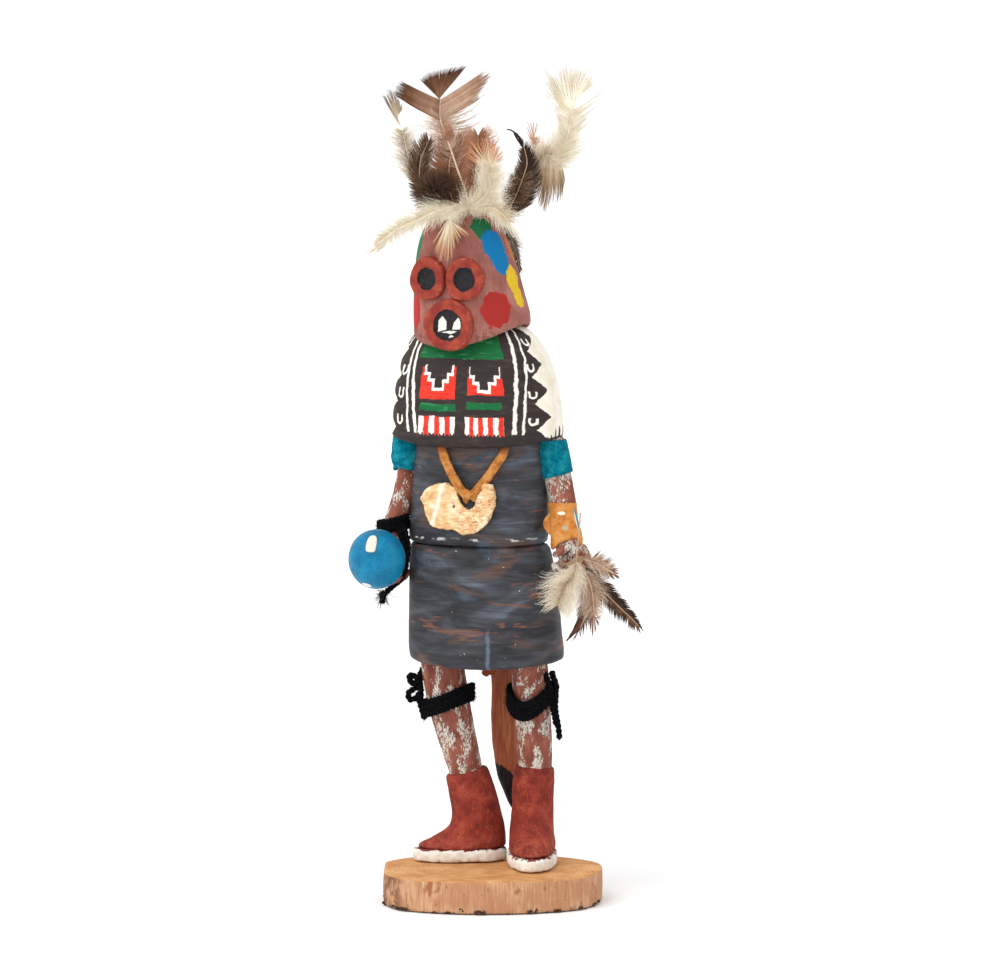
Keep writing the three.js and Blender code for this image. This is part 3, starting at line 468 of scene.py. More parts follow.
# the figure is one carving: each form is a stack of level rings, in mm
carving = {
    "skirt": tabled("x z a b sag",
        (0, 96.4, 30.2, 20.8, 2.3), (0, 98, 31.6, 22.2, 2.3), (-0.2, 102, 31.8, 22.4, 1.84),
        (-1.2, 120, 30.9, 21.9, 0.6), (-3, 143.1, 28.8, 20.6, 0.6), (-3.2, 144.8, 27.6, 19.6, 0.6)),
    "bodice": tabled("x z a b sag",
        (-3.6, 143, 27.2, 18.8, 0.6), (-3.7, 145.4, 28.4, 19.7, 0.4), (-3.4, 150, 28.4, 19.7),
        (-2.8, 166, 27.8, 19.5), (-2, 186, 27.2, 19.1), (-2.6, 198, 26, 18.4)),
    "blanket": tabled("x z a b sag",
        (-4, 185.5, 34.1, 22.4, 3), (-4, 187.1, 35.2, 23.5, 3), (-4, 194, 35, 23.4, 1.2), (-4.1, 202, 33.8, 23),
        (-4.4, 213, 31.9, 22), (-4.8, 221.4, 29, 19.2), (-5.2, 227.4, 24.8, 16.6), (-5.5, 233, 17, 12)),
    "mask": tabled("x y z a b sag tip",
        (-5.4, -2.4, 231.6, 18.5, 17.6, 5.2, 2.5), (-5.4, -2.4, 228.6, 22.4, 21.8, 6.2, 2.5),
        (-5.5, -2.5, 230.4, 23.5, 22.8, 5.9, 2.5), (-5.7, -2.6, 237, 23.1, 22.4, 3, 1.2),
        (-6.3, -3, 244, 22.2, 21.6, 0.8), (-6.9, -3.5, 250.5, 21.3, 20.7), (-7.8, -4, 258, 19.7, 19.2),
        (-8.5, -4.5, 265.4, 17.5, 17.1), (-8.9, -4.9, 271.6, 14.6, 14.2), (-9, -5, 276.4, 9.8, 9.6),
        (-9, -5, 279.4, 3, 3)),
    "square": {"skirt": 2.25, "bodice": 2.3, "blanket": 2.35, "mask": 2},
    "maskOverhang": 1.2,
    "legs": {
        "right": [(-19.6, -1, 101, 8.9, 8.4), (-18.6, -0.3, 92, 8.8, 8.4), (-16.2, 1.9, 74, 8.3, 8.2),
                  (-11.6, 5.4, 52, 6.9, 7), (-10.2, 6.2, 45, 6.6, 6.6)],
        "left": [(17.9, -0.6, 101, 7.6, 7.6), (18, 0.4, 92, 7.5, 7.6), (18.2, 4.4, 72, 7.2, 7.4),
                 (17.7, 7.9, 54, 6.9, 7), (17.2, 9, 46, 6.6, 6.6)],
    },
}


# the painted blanket: s runs round the shoulders from the middle of the front, both it and heights in mm
blanketPattern = {
    "hemBand": 187.6, "teeth": 10.4, "toothFoot": 195.8, "toothRoot": 34.2, "toothReach": 6.8,
    "green": (218.6, 232), "greenEdges": (-24, 23.6),
    "squares": ((-20.6, -1.2, 202.6, 215.4), (5.4, 22.4, 204.6, 214.8)),
    "bars": ((-20.2, -1, 197.9, 200.9), (5, 21.6, 198.9, 201.7)),
    "stripes": ((-20.4, -1.2, 7), (4.4, 22.3, 8)),
    "stripeTop": 195.8, "stripeFoot": 187.2,
    "steps": ((7.2, 2.2), (4.6, 4.8), (2, 8.2)), "line": 1.25,
    "rightLines": ((27.4, 0.09, 1.5), (31.2, 0.13, 1.0)), "leftLines": ((-24.2, -0.15, 1.5), (-27.6, -0.13, 1.2)),
    "marks": ((37.4, 225.2), (34.6, 215.4), (33.9, 204.8), (33.2, 194.2),
              (-36.2, 224), (-31, 213.2), (-31, 204.2), (-30.4, 193.6)),
    "white": (246, 242, 230), "black": (58, 50, 49), "red": (236, 66, 46), "greenPaint": (24, 112, 62),
}


def blanketLook():
    p = blanketPattern
    f = Finish("blanketPaint", roughness=0.62)
    wobble = f.noise(4, detail=2.0)
    shake = f.noise(1.6, detail=2.0)
    angle = f.node("ShaderNodeMath", {"operation": "ARCTAN2"}, {0: f.x + 4.2, 1: f.y * -1})
    s = angle * 30 + (wobble - 0.5) * 1.6 + (shake - 0.5) * 0.7
    z = f.z + (f.noise(4.6, detail=2.0) - 0.5) * 1.6 + (f.noise(1.4, detail=2.0) - 0.5) * 0.5

    def box(left, right, low, high, soft=0.16):
        return f.within(s, left, right, soft) * f.within(z, low, high, soft)

    # black panel, with a row of teeth down each edge
    wave = ((z - p["toothFoot"]) / p["teeth"]).folded(0.5) * 2
    edge = p["toothRoot"] + p["toothReach"] * (1 - wave) + f.smooth(z, 216, 228) * 3
    around = abs(s) + f.below(s, 0, 0.5) * 1.4
    black = f.smooth(edge - around, -0.16, 0.16)
    backPanel = f.smooth(0.75 * edge - (94.2 - abs(angle * 30)), -0.2, 0.2)
    black = black | backPanel
    spikes = f.noise(2.6, stretch=(1, 1, 4), detail=1.0)
    hem = f.below(z - f.smooth(spikes, 0.5, 0.66) * 4.2 * f.above(around, 34, 2.0), p["hemBand"], 0.2)
    ground = f.mix(p["white"], (232, 224, 205), f.spots(9, 0.4, 0.75))
    darker = f.mix(p["black"], (76, 64, 60), f.spots(3, 0.45, 0.7, stretch=(2, 2, 0.6)))
    colour = f.mix(ground, darker, black | hem)
    # white lines beside the panel, leaning with the cloth
    lines = None
    for at, lean, width in (*p["rightLines"], *p["leftLines"]):
        line = f.below(abs(s - at - (z - 206) * lean), width / 2, 0.2) * f.above(z, 189, 0.2)
        lines = line if lines is None else lines | line
    for at, height in p["marks"]:
        ds, dz = s - at, z - height
        bowl = (ds * ds + (dz & 0) * (dz & 0)) ** 0.5
        arm = f.within(bowl, 0.95, 1.85, 0.15) * f.below(dz, 1.8 - 0.5 * at / abs(at), 0.2)
        lines = lines | arm
    # two stepped squares, two bars and two fringes
    green = box(*p["greenEdges"], *p["green"])
    red = None
    for left, right, low, high in p["squares"]:
        q = abs(s - (left + right) / 2)
        notch = lined = None
        for half, drop in p["steps"]:
            inner = f.below(q, half) * f.above(z, high - drop)
            outer = f.below(q, half + p["line"]) * f.above(z, high - drop - p["line"])
            notch = inner if notch is None else notch | inner
            lined = outer if lined is None else lined | outer
        square = box(left, right, low, high)
        red = square * (1 - lined) if red is None else red | square * (1 - lined)
        lines = lines | lined * (1 - notch) * box(left + 0.8, right - 0.8, low, high + 0.6)
    for left, right, low, high in p["bars"]:
        green = green | box(left, right, low, high)
    for left, right, count in p["stripes"]:
        part = (s - left) / (right - left) * count
        odd = f.above((part + 0.5).folded(1.0), 0.5, 0.1)
        point = (part + 0.5).folded(0.5) * 2.4
        fringe = f.within(s, left, right, 0.15) * f.below(z, p["stripeTop"], 0.15)
        low = p["stripeFoot"] + 1.2 - point * (2 * (1 - odd) - 1) + (1 - odd) * 0.6
        fringe = fringe * f.smooth(z - low, -0.15, 0.15)
        red = red | fringe * (1 - odd)
        lines = lines | fringe * odd
    strokes = f.noise(1.6, stretch=(3, 3, 0.7), detail=2.0)
    redPaint = f.mix(p["red"], (214, 52, 44), f.smooth(strokes, 0.4, 0.7))
    greenPaint = f.mix(p["greenPaint"], (64, 152, 96), f.smooth(strokes, 0.52, 0.72))
    colour = f.mix(colour, redPaint, red)
    colour = f.mix(colour, greenPaint, green)
    colour = f.mix(colour, (244, 241, 232), lines)
    return f.done(colour, (f.noise(7), 0.5), (strokes, 0.14), (lines | green, 0.1))


# patches of paint on the mask: place on the wood in mm, how far they reach along x, y and z, and colour
maskPatches = (
    ((3.2, -13.6, 270.6), (5.2, 5.2, 5.4), (30, 112, 66)),
    ((-24, -12.6, 263), (4.4, 4.4, 7.2), (44, 126, 86)),
    ((7.8, -12.4, 263.6), (5.8, 5.8, 7.4), (4, 126, 184)),
    ((10.2, -11.6, 257), (4.2, 4.4, 5.8), (4, 126, 184)),
    ((14, -7.6, 250), (3.4, 4.4, 6), (230, 196, 44)),
    ((15.8, -6.2, 243.4), (3, 3.4, 5.2), (230, 196, 44)),
    ((10.8, -18, 238.4), (6.6, 6.6, 7.4), (178, 50, 44)),
    ((-24.4, -16.8, 237), (4.6, 4.6, 7.2), (188, 52, 50)),
    ((10.4, -1.4, 262.6), (2.6, 2.6, 8), (204, 118, 52)),
    ((8, 8, 266), (6, 6, 8), (4, 126, 184)),
    ((13, 9, 247), (6, 5, 7), (30, 112, 66)),
    ((-6, 18.6, 256), (6.4, 5, 7), (230, 196, 44)),
    ((-20, 13.6, 246), (5, 5, 6.4), (4, 126, 184)),
    ((-8, 21, 237), (6.6, 5, 5.6), (178, 50, 44)),
    ((-20, 8, 266), (5, 5, 7), (178, 50, 44)),
)


def maskLook():
    f = Finish("maskPaint", roughness=0.7)
    grain = f.noise(0.9, stretch=(1, 1, 7), detail=3.0)
    colour = f.ramp(f.noise(8, stretch=(1, 1, 1.4)), (0.3, 144, 98, 88), (0.5, 164, 104, 94), (0.72, 182, 130, 118))
    colour = f.mix(colour, (130, 80, 70), f.smooth(grain, 0.54, 0.72) * 0.34)
    colour = f.mix(colour, (194, 142, 130), f.smooth(grain, 0.46, 0.3) * 0.28)
    for at, reach, tint in maskPatches:
        shade = f.mix(tint, tuple(min(255, int(c * 0.86 + 14)) for c in tint), f.smooth(grain, 0.45, 0.7))
        colour = f.mix(colour, shade, f.patch(at, reach))
    rim = f.below(f.z, 229.6, 0.8) * f.spots(2, 0.5, 0.62)
    colour = f.mix(colour, (120, 74, 62), rim * 0.7)
    f.gloss(0.62 + f.noise(3) * 0.2)
    return f.done(colour, (f.noise(10, stretch=(1, 1, 1.6)), 1.1), (grain, 0.14), (f.noise(0.5), 0.05))


def dressLook():
    # dark paint dragged round the body with a wide brush
    f = Finish("dressPaint", roughness=0.5, specular=0.3)
    drag = f.noise(0.8, stretch=(14, 14, 0.9), detail=4.0, rough=0.6)
    wide = f.noise(13, stretch=(2.2, 2.2, 0.8), detail=2.0, distortion=1.4)
    streaks = f.noise(4.2, stretch=(5, 5, 0.9), detail=2.0, distortion=1.1)
    tone = wide * 0.5 + drag * 0.2 + streaks * 0.3
    colour = f.ramp(tone, (0.36, 36, 37, 43), (0.47, 56, 57, 63), (0.56, 76, 78, 86), (0.68, 108, 114, 126))
    brown = f.spots(17, 0.5, 0.68, stretch=(1.8, 1.8, 0.7), detail=2.0, distortion=1.2)
    colour = f.mix(colour, (116, 84, 68), brown * (0.3 + f.smooth(drag, 0.4, 0.6) * 0.4))
    blue = f.spots(13, 0.56, 0.7, stretch=(1.6, 1.6, 0.9))
    colour = f.mix(colour, (88, 104, 122), blue * 0.6)
    rust = f.spots(12, 0.6, 0.7, stretch=(2.6, 2.6, 0.6), detail=2.0, distortion=1.6)
    colour = f.mix(colour, (146, 94, 68), rust * f.smooth(drag, 0.35, 0.6) * 0.7)
    # painted highlight of a fold: a pale blue-grey line down the front of the skirt, low down
    fold = f.below(abs(f.x - 8.2 + (f.noise(3) - 0.5) * 2), 0.7, 0.5) * f.below(f.z, 110, 3.0) * f.below(f.y, 0)
    colour = f.mix(colour, (112, 128, 146), fold * 0.7)
    # pale marks along the waist seam, partly worn chips and partly a painted highlight on its edge; pale flecks all
    # over
    seam = f.below(abs(f.z - 146.6 - (f.noise(5) - 0.5)), 0.5, 0.4) * f.spots(4, 0.52, 0.64, stretch=(1, 1, 0.5))
    flecks = f.above(f.noise(1.2, detail=1.0), 0.8, 0.02)
    colour = f.mix(colour, (206, 206, 208), seam | flecks)
    f.gloss(0.48 + drag * 0.25)
    return f.done(colour, (wide, 0.6), (streaks, 0.35), (drag, 0.16))


def skinColour(name):
    # brown paint, then white dabbed on with a sponge
    f = Finish(name, roughness=0.8)
    colour = f.ramp(f.noise(5, stretch=(1, 1, 1.8)), (0.32, 124, 72, 58), (0.52, 154, 92, 76), (0.7, 172, 112, 94))
    colour = f.mix(colour, (108, 62, 52), f.spots(0.9, 0.52, 0.7, stretch=(1, 1, 5)) * 0.5)
    patch = f.spots(5, 0.4, 0.62, stretch=(1, 1, 2), detail=2.0)
    speck = f.spots(0.5, 0.6, 0.4, stretch=(1, 1, 2.4), detail=3.0, rough=0.7)
    dab = f.smooth(patch * 0.6 + speck * 0.5, 0.6, 0.78)
    f.relief((f.noise(6), 0.6), (dab, 0.12), (f.noise(0.5), 0.05))
    return f, f.mix(colour, (228, 224, 214), dab * 0.85)


def bootLook():
    f = Finish("bootPaint", roughness=0.85)
    mottle = f.noise(1.1, detail=4.0, rough=0.7)
    colour = f.ramp(f.noise(7), (0.34, 118, 44, 37), (0.52, 152, 62, 49), (0.7, 176, 84, 66))
    grain = f.noise(0.7, stretch=(1, 1, 4), detail=3.0, rough=0.65)
    colour = f.mix(colour, (196, 104, 62), f.smooth(grain, 0.54, 0.7) * f.spots(5, 0.4, 0.62) * 0.8)
    colour = f.mix(colour, (88, 32, 30), f.smooth(mottle, 0.46, 0.32) * 0.7)
    toe = f.below(f.z, 24, 3) * f.spots(2.4, 0.46, 0.62)
    colour = f.mix(colour, (176, 104, 88), toe * 0.45)
    colour = f.mix(colour, (96, 38, 34), f.above(f.z, 49.6, 0.9) * f.spots(2, 0.4, 0.6) * 0.5)
    return f.done(colour, (f.noise(6), 0.6), (mottle, 0.22), (f.noise(0.35), 0.08))


def soleLook():
    f = Finish("solePaint", roughness=0.8)
    colour = f.ramp(f.noise(3), (0.35, 228, 222, 210), (0.55, 238, 234, 226), (0.7, 246, 244, 238))
    over = f.above(f.z + (f.noise(2.2, detail=2.0) - 0.5) * 3.4, 18.7, 0.2)
    colour = f.mix(colour, (138, 56, 46), over)
    colour = f.mix(colour, (196, 150, 112), f.below(f.z, 15.4, 1.0) * f.spots(2.4, 0.5, 0.66) * 0.7)
    return f.done(colour, (f.noise(4), 0.7), (f.noise(0.6, detail=4.0), 0.16))


def carveFigure():
    looks = {"skirt": dressLook(), "blanket": blanketLook(), "mask": maskLook()}
    looks["bodice"] = looks["skirt"]
    for part in ("skirt", "bodice", "blanket", "mask"):
        levels = [{**level, "square": carving["square"][part]} for level in carving[part]]
        if part == "mask":
            levels = [{**level, "back": level["b"] + carving["maskOverhang"]} for level in levels]
        form = stackedForm(part, levels)
        roughen(form, 0.9, 14)
        settle(form, "figure", "painted_wood", looks[part])
    skin, dabbed = skinColour("legPaint")
    skin.colour(dabbed)
    for side, keys in carving["legs"].items():
        leg = sweptForm("leg_" + side, keys, smoothing=2)
        roughen(leg, 0.7, 9)
        settle(leg, "figure", "painted_wood", skin.look)


carveFigure()
print("figure carved")


# boots carved with the figure, and their painted soles
boots = {
    "right": {
        "turn": -63,
        "sole": {"x": -6.1, "y": 8.4, "b": 27.6, "back": 11, "a": 10, "taper": 0.1, "square": 2.15},
        "upper": tabled("x y z b back a taper square pitch tip",
            (-6.1, 8.4, 18, 26.4, 10.6, 9.4, 0.1, 2.15), (-6.1, 8.4, 20.8, 25, 10.7, 9.2, 0.08),
            (-6.1, 8.4, 23.6, 18.6, 10.6, 9, 0.05), (-6.1, 8.4, 26.6, 13.4, 10.2, 9),
            (-6.2, 8.4, 30, 10.8, 9.8, 9.2), (-8, 7.3, 39.6, 9.6, 9.2, 9, 0, 2, 0.7),
            (-10.9, 5.8, 49.6, 9, 8.8, 8.8, 0, 2, 1.9), (-11.1, 5.7, 50.6, 8, 7.8, 7.8, 0, 2, 1.9)),
    },
    "left": {
        "turn": 20,
        "sole": {"x": 15.3, "y": 10.9, "b": 29.4, "back": 10, "a": 10.2, "taper": 0.1, "square": 2.15},
        "upper": tabled("x y z b back a taper square pitch tip",
            (15.3, 10.9, 18, 28.2, 9.6, 9.6, 0.1, 2.15), (15.3, 10.9, 21.4, 26.6, 9.6, 9.4, 0.08),
            (15.3, 10.9, 24.8, 20.4, 9.4, 9.1, 0.05), (15.3, 10.9, 28, 14.4, 9.2, 8.8),
            (15.4, 10.7, 31.5, 10.6, 9, 8.6), (16.1, 9.7, 41, 9, 8.7, 8.4),
            (17.2, 8.2, 52.6, 8.6, 8.5, 8.4, 0, 2, 0, -0.4), (17.3, 8.1, 53.6, 7.6, 7.5, 7.4, 0, 2, 0, -0.4)),
    },
    "soleFoot": 13.8,
    "soleThickness": 5.5,
}


def makeBoots():
    red, white = bootLook(), soleLook()
    for side in ("right", "left"):
        boot = boots[side]
        upper = [{**level, "turn": boot["turn"]} for level in boot["upper"]]
        shaft = stackedForm("boot_" + side, upper, 40)
        roughen(shaft, 0.9, 8)
        settle(shaft, "figure", "painted_wood", red)
        foot, thick = boots["soleFoot"], boots["soleThickness"]
        sole = []
        for z, less in ((foot, 0.9), (foot + 0.5, 0.2), (foot + thick - 1, 0), (foot + thick, 0.7)):
            level = dict(boot["sole"], z=z, turn=boot["turn"])
            for key in ("a", "b", "back"):
                level[key] -= less
            sole.append(level)
        welt = stackedForm("sole_" + side, sole, 40)
        roughen(welt, 0.7, 6)
        settle(welt, "figure", "painted_wood", white)


makeBoots()
print("boots made")


# the short tubes of branch that stand for eyes and mouth; at is the middle of the ring in mm
rings = {
    "depth": 4, "recess": 1.3,
    "eye_ring_right": {"at": (-15.8, -21.9, 250.3), "turn": -14, "wide": 8.5, "high": 8.9, "bore": 4.1, "wall": 3.2},
    "eye_ring_left": {"at": (-0.9, -22.6, 250.3), "turn": 12, "wide": 7.9, "high": 8.9, "bore": 4.1, "wall": 3.2},
    "mouth_ring": {"at": (-6.9, -23.6, 232.2), "turn": -2, "wide": 10.6, "high": 10.6, "bore": 5.9, "wall": 3},
    "teeth": (
        ((-4.4, -2.6), (-0.9, -1.7), (-0.8, 1.6), (-2.5, 3.6), (-4.2, 1.8)),
        ((1.6, -1.7), (5.2, -1.4), (5.3, 1.4), (4.2, 3.1), (2.5, 1.2)),
        ((-4.4, -2.6), (0.9, -3.4), (5.2, -1.9), (4.8, -1.1), (0.4, -2.1), (-3.6, -1.7)),
        ((0.2, -5), (2.4, -4.5), (1.6, -3.9), (0.6, -4.1)),
    ),
}


def ringLook(name, ring):
    f = Finish(name, roughness=0.6, specular=0.2)
    turn = math.radians(ring["turn"])
    x, y, z = ring["at"]
    across = (f.x - x) * math.cos(turn) + (f.y - y) * math.sin(turn)
    up = f.z - z
    out = (f.x - x) * math.sin(turn) - (f.y - y) * math.cos(turn)
    far = (across * across + up * up * (ring["wide"] / ring["high"]) ** 2) ** 0.5
    litFacet = f.cells(4.5, stretch=(1, 2, 1))
    colour = f.ramp(f.noise(4, detail=2.0), (0.34, 144, 52, 43), (0.5, 160, 62, 48), (0.66, 174, 74, 55))
    # lighter patches on the front face: painted highlight, the light on carved facets
    colour = f.mix(colour, (190, 94, 66), f.smooth(litFacet, 0.55, 0.2) * f.above(out, ring["wall"] - 0.9, 0.5) * 0.3)
    # pale spots round the rim's edge: partly wear, partly a painted highlight on the edge
    wearAndHighlight = f.spots(1.2, 0.52, 0.66, detail=3.0) * f.within(far, ring["wide"] - 1.1, ring["wide"] - 0.1, 0.3)
    colour = f.mix(colour, (196, 130, 108), wearAndHighlight * 0.5)
    # darker spots down the ring's side, back towards the head: painted shade
    dark = f.spots(1.5, 0.62, 0.74) * f.below(out, ring["wall"] - 2, 0.6)
    colour = f.mix(colour, (96, 38, 34), dark * 0.7)
    edge = ring["bore"] + 0.25 + (f.noise(2.2, detail=1.0) - 0.5) * 1.5
    charcoal = f.ramp(f.noise(1.3), (0.3, 28, 26, 28), (0.7, 50, 48, 52))
    colour = f.mix(colour, charcoal, f.smooth(edge - far, -0.12, 0.12))
    if name == "mouthPaint":
        bend = (f.noise(1.8) - 0.5) * 0.9
        for tooth in rings["teeth"]:
            colour = f.mix(colour, (240, 238, 228), f.shape(across + bend, up + bend, tooth))
    return f.done(colour, (f.noise(4), 0.6), (f.noise(1.1, detail=4.0), 0.22))


def makeRing(node, ring, look):
    turn = math.radians(ring["turn"])
    across, out = Vector((math.cos(turn), math.sin(turn), 0)), Vector((math.sin(turn), -math.cos(turn), 0))
    chance = random.Random(node)
    first, second = chance.uniform(0, 6), chance.uniform(0, 6)

    def hoop(size, shrink, ahead):
        def point(angle):
            cut = 1 + 0.025 * math.sin(3 * angle + first) - 0.03 * abs(math.sin(2.5 * angle + second))
            wide, high = (ring["wide"], ring["high"]) if size == "rim" else (ring["bore"], ring["bore"] * 1.04)
            wide, high = (wide * shrink, high * shrink) if size == "floor" else (wide - shrink, high - shrink)
            middle = Vector(ring["at"]) + out * (ahead + ring["wall"])
            up = Vector((0, 0, high * cut * math.sin(angle)))
            return (middle + across * wide * cut * math.cos(angle) + up) * mm
        return point

    floor = -rings["recess"]
    piece = growRings(node + "_carved", 40, [
        hoop("rim", 0.8, -ring["wall"] - rings["depth"]), hoop("rim", 0.1, -ring["wall"] - rings["depth"] + 1),
        hoop("rim", 0, -1.4), hoop("rim", 0.15, -0.7), hoop("rim", 0.6, -0.15), hoop("rim", 1.2, 0),
        hoop("bore", -0.7, -0.25), hoop("bore", -0.1, -0.35),
        hoop("bore", 0.05, floor + 0.3), hoop("bore", 0.4, floor),
        hoop("floor", 0.5, floor), hoop("floor", 0.12, floor),
    ])
    apply(piece, "SUBSURF", levels=2, render_levels=2)
    roughen(piece, 0.6, 5)
    settle(piece, node, "red_wood", look)


ringPaints = {"eye_ring_right": "eyeRightPaint", "eye_ring_left": "eyeLeftPaint", "mouth_ring": "mouthPaint"}
for node, name in ringPaints.items():
    makeRing(node, rings[node], ringLook(name, rings[node]))
print("eyes and mouth made")


# arms of round stick, whittled into fists; keys of x, y, z, half width, half thickness in mm
arms = {
    "right": {
        "keys": [(-31.8, -2.6, 187, 4.9, 5), (-31.8, -2.8, 180, 4.9, 5), (-32.2, -3.2, 169, 4.9, 5),
                 (-34.4, -4.8, 159, 4.8, 4.8), (-36.6, -8.2, 150, 4.6, 4.6), (-36, -12.4, 141, 4.8, 4.8),
                 (-35.6, -13.6, 134, 4, 4.2)],
        "shift": (0, 0, 0), "mirror": 1,
    },
    "left": {
        "keys": [(25.6, 2.4, 187, 5.8, 4.8), (26.4, 2.2, 180, 5.9, 4.8), (29, 1.8, 171, 5.8, 4.8),
                 (31.6, 1, 162, 5.4, 4.6), (34, -1.4, 149, 5, 4.4), (36, -2.8, 138, 4.4, 4.2)],
        "shift": (0.6, 11, 5), "mirror": -1,
    },
    "palm": [(-36.4, -12.6, 140.5, 4.4, 4.6), (-36.2, -13, 136, 4.6, 5.4), (-35.6, -13.6, 131.4, 3.4, 4.4)],
    "finger": [(-38.4, 139, 1.7), (-40.8, 135, 1.75), (-39.8, 130.8, 1.8), (-36, 128.6, 1.8), (-32, 129.8, 1.75),
               (-30.3, 133, 1.55)],
    "fingerPlaces": (-8.9, -12.1, -15.3, -18.4),
    "thumb": [(-38.8, -15.4, 141.4, 1.7, 1.8), (-37.2, -19.4, 140, 1.8, 1.8), (-33.8, -20.6, 137.6, 1.8, 1.7),
              (-31, -19.6, 135.4, 1.5, 1.4)],
    "voxel": 0.42,
}


def makeArm(side, look):
    arm = arms[side]
    shift, mirror = arm["shift"], arm["mirror"]

    def placed(keys):
        return [(shift[0] + mirror * x, shift[1] + y, shift[2] + z, a, b) for x, y, z, a, b in keys]

    parts = [sweptForm("arm_" + side, arm["keys"]), sweptForm("palm", placed(arms["palm"]), steps=8)]
    for number, y in enumerate(arms["fingerPlaces"]):
        keys = [(x, y + 0.1 * (number - 1.5) * (z - 134) * 0.2, z, a, a) for x, z, a in arms["finger"]]
        parts.append(sweptForm("finger", placed(keys), (0, -1, 0), 12, 12))
    parts.append(sweptForm("thumb", placed(arms["thumb"]), (0, 0, 1), 10, 12))
    whole = fuse("arm_" + side + "_carved", parts, arms["voxel"])
    roughen(whole, 0.7, 8)
    settle(whole, "arm_" + side, "skin_wood", look)


def armLook():
    # nails and dabbed patches are told by their places in mm
    f, colour = skinColour("armPaint")
    for at, reach in (((-29.4, -18.6, 133.4), (1.6, 1.5, 1.8)), ((-29.4, -15.3, 133.6), (1.4, 1.3, 1.7)),
                      ((30.4, -7.6, 138.6), (1.5, 1.4, 1.8)), ((-38.2, -21.4, 128.4), (2.6, 3, 1))):
        colour = f.mix(colour, (236, 232, 222), f.patch(at, reach))
    return f.done(colour)


for side in ("right", "left"):
    makeArm(side, armLook())
print("arms made")


# the gourd rattle; tab is the pale slip glued on it, in the ball's own directions
rattle = {
    "at": (-35.6, -30, 138.9), "radius": 11.5, "stretch": 1.04, "rows": 22,
    "handle": [(-35.6, -22, 137.9, 2.4, 2.4), (-35.4, -14, 134.7, 2.4, 2.4), (-35, -3, 130.9, 2.3, 2.3)],
    "tabFacing": (0.12, -0.8, 0.62), "tabSide": (0.94, 0.34, 0), "tabWidth": 2.1, "tabHeight": 3.9, "tabLean": -10,
    "spot": (-37.6, -35.4, 129.2),
}


def rattleLook():
    f = Finish("rattlePaint", roughness=0.45, specular=0.22)
    colour = f.ramp(f.noise(7), (0.32, 0, 112, 152), (0.5, 0, 128, 170), (0.7, 20, 146, 184))
    speck = f.spots(0.7, 0.64, 0.74, detail=2.0) * f.below(f.z, 137, 5)
    colour = f.mix(colour, (120, 188, 204), speck * 0.7)
    colour = f.mix(colour, (8, 96, 120), f.spots(1.6, 0.58, 0.7) * 0.5)
    colour = f.mix(colour, (238, 238, 232), f.patch(rattle["spot"], (2.4, 2, 1.2)))
    handle = f.above(f.y, -19.2, 0.3)
    colour = f.mix(colour, (190, 150, 108), handle)
    return f.done(colour, (f.noise(9), 0.7), (f.noise(1.2, detail=4.0), 0.14))


def makeRattle():
    centre, radius = Vector(rattle["at"]), rattle["radius"]
    rows = rattle["rows"]

    def hoop(row):
        tilt = math.pi * (row + 0.35) / rows - math.pi / 2
        return lambda angle: (centre + Vector((
            radius * math.cos(tilt) * math.cos(angle), radius * math.cos(tilt) * math.sin(angle),
            radius * rattle["stretch"] * math.sin(tilt)))) * mm

    ball = growRings("rattle_ball", 40, [hoop(row) for row in range(rows)])
    apply(ball, "SUBSURF", levels=1, render_levels=1)
    handle = sweptForm("rattle_handle", rattle["handle"], (0, 0, 1), 12, 16)
    roughen(ball, 0.5, 12)
    look = rattleLook()
    settle(ball, "rattle", "blue_wood", look)
    settle(handle, "rattle", "blue_wood", look)
    facing, aside = Vector(rattle["tabFacing"]).normalized(), Vector(rattle["tabSide"])
    right = (aside - facing * facing.dot(aside)).normalized()
    right.rotate(Quaternion(facing, math.radians(rattle["tabLean"])))
    up = facing.cross(right)

    def slip(share, lift):
        def point(angle):
            p = squarish(math.cos(angle), 3) * rattle["tabWidth"] * share * (1.0 - 0.12 * math.sin(angle))
            q = squarish(math.sin(angle), 2.2 if math.sin(angle) > 0 else 5) * rattle["tabHeight"] * share
            there = (facing * radius + right * p + up * q).normalized() * (radius + lift)
            return (centre + Vector((there.x, there.y, there.z * rattle["stretch"]))) * mm
        return point

    tab = growRings("rattle_tab", 36, [slip(1, -0.5), slip(1, 0.2), slip(0.93, 0.5), slip(0.7, 0.6), slip(0.2, 0.6)])
    apply(tab, "SUBSURF", levels=2, render_levels=2)
    f = Finish("tabPaint", roughness=0.6)
    tint = f.ramp(f.noise(2.2), (0.36, 232, 214, 200), (0.52, 240, 234, 214), (0.68, 226, 232, 208))
    settle(tab, "rattle", "painted_wood", f.done(tint, (f.noise(2), 0.3), (f.noise(0.6), 0.06)))


makeRattle()
print("rattle made")


# strips of felt wrapped round the upper arms, the outer end lapping over the inner
felt = {
    "right": {"keys": [(-32.2, -3.6, 186, 5.8, 6.3), (-32.2, -4, 179.4, 6.5, 7), (-32.4, -3.7, 173.4, 5.7, 6.2)],
              "tilt": 0.5, "wave": 0.5, "lumps": 1.5, "lumpSize": 4.5, "lap": 0.7},
    "left": {"keys": [(25.8, 2, 186, 6.4, 6.4), (27, 1.6, 179, 6.8, 6.6), (28.8, 1.4, 171.6, 6.4, 5.9)],
             "tilt": 1.7, "wave": 0.15, "lumps": 0.6, "lumpSize": 8, "lap": 0.4},
    "thickness": 1.5, "rows": 12, "lapAngle": 0.4, "fibres": 700,
}


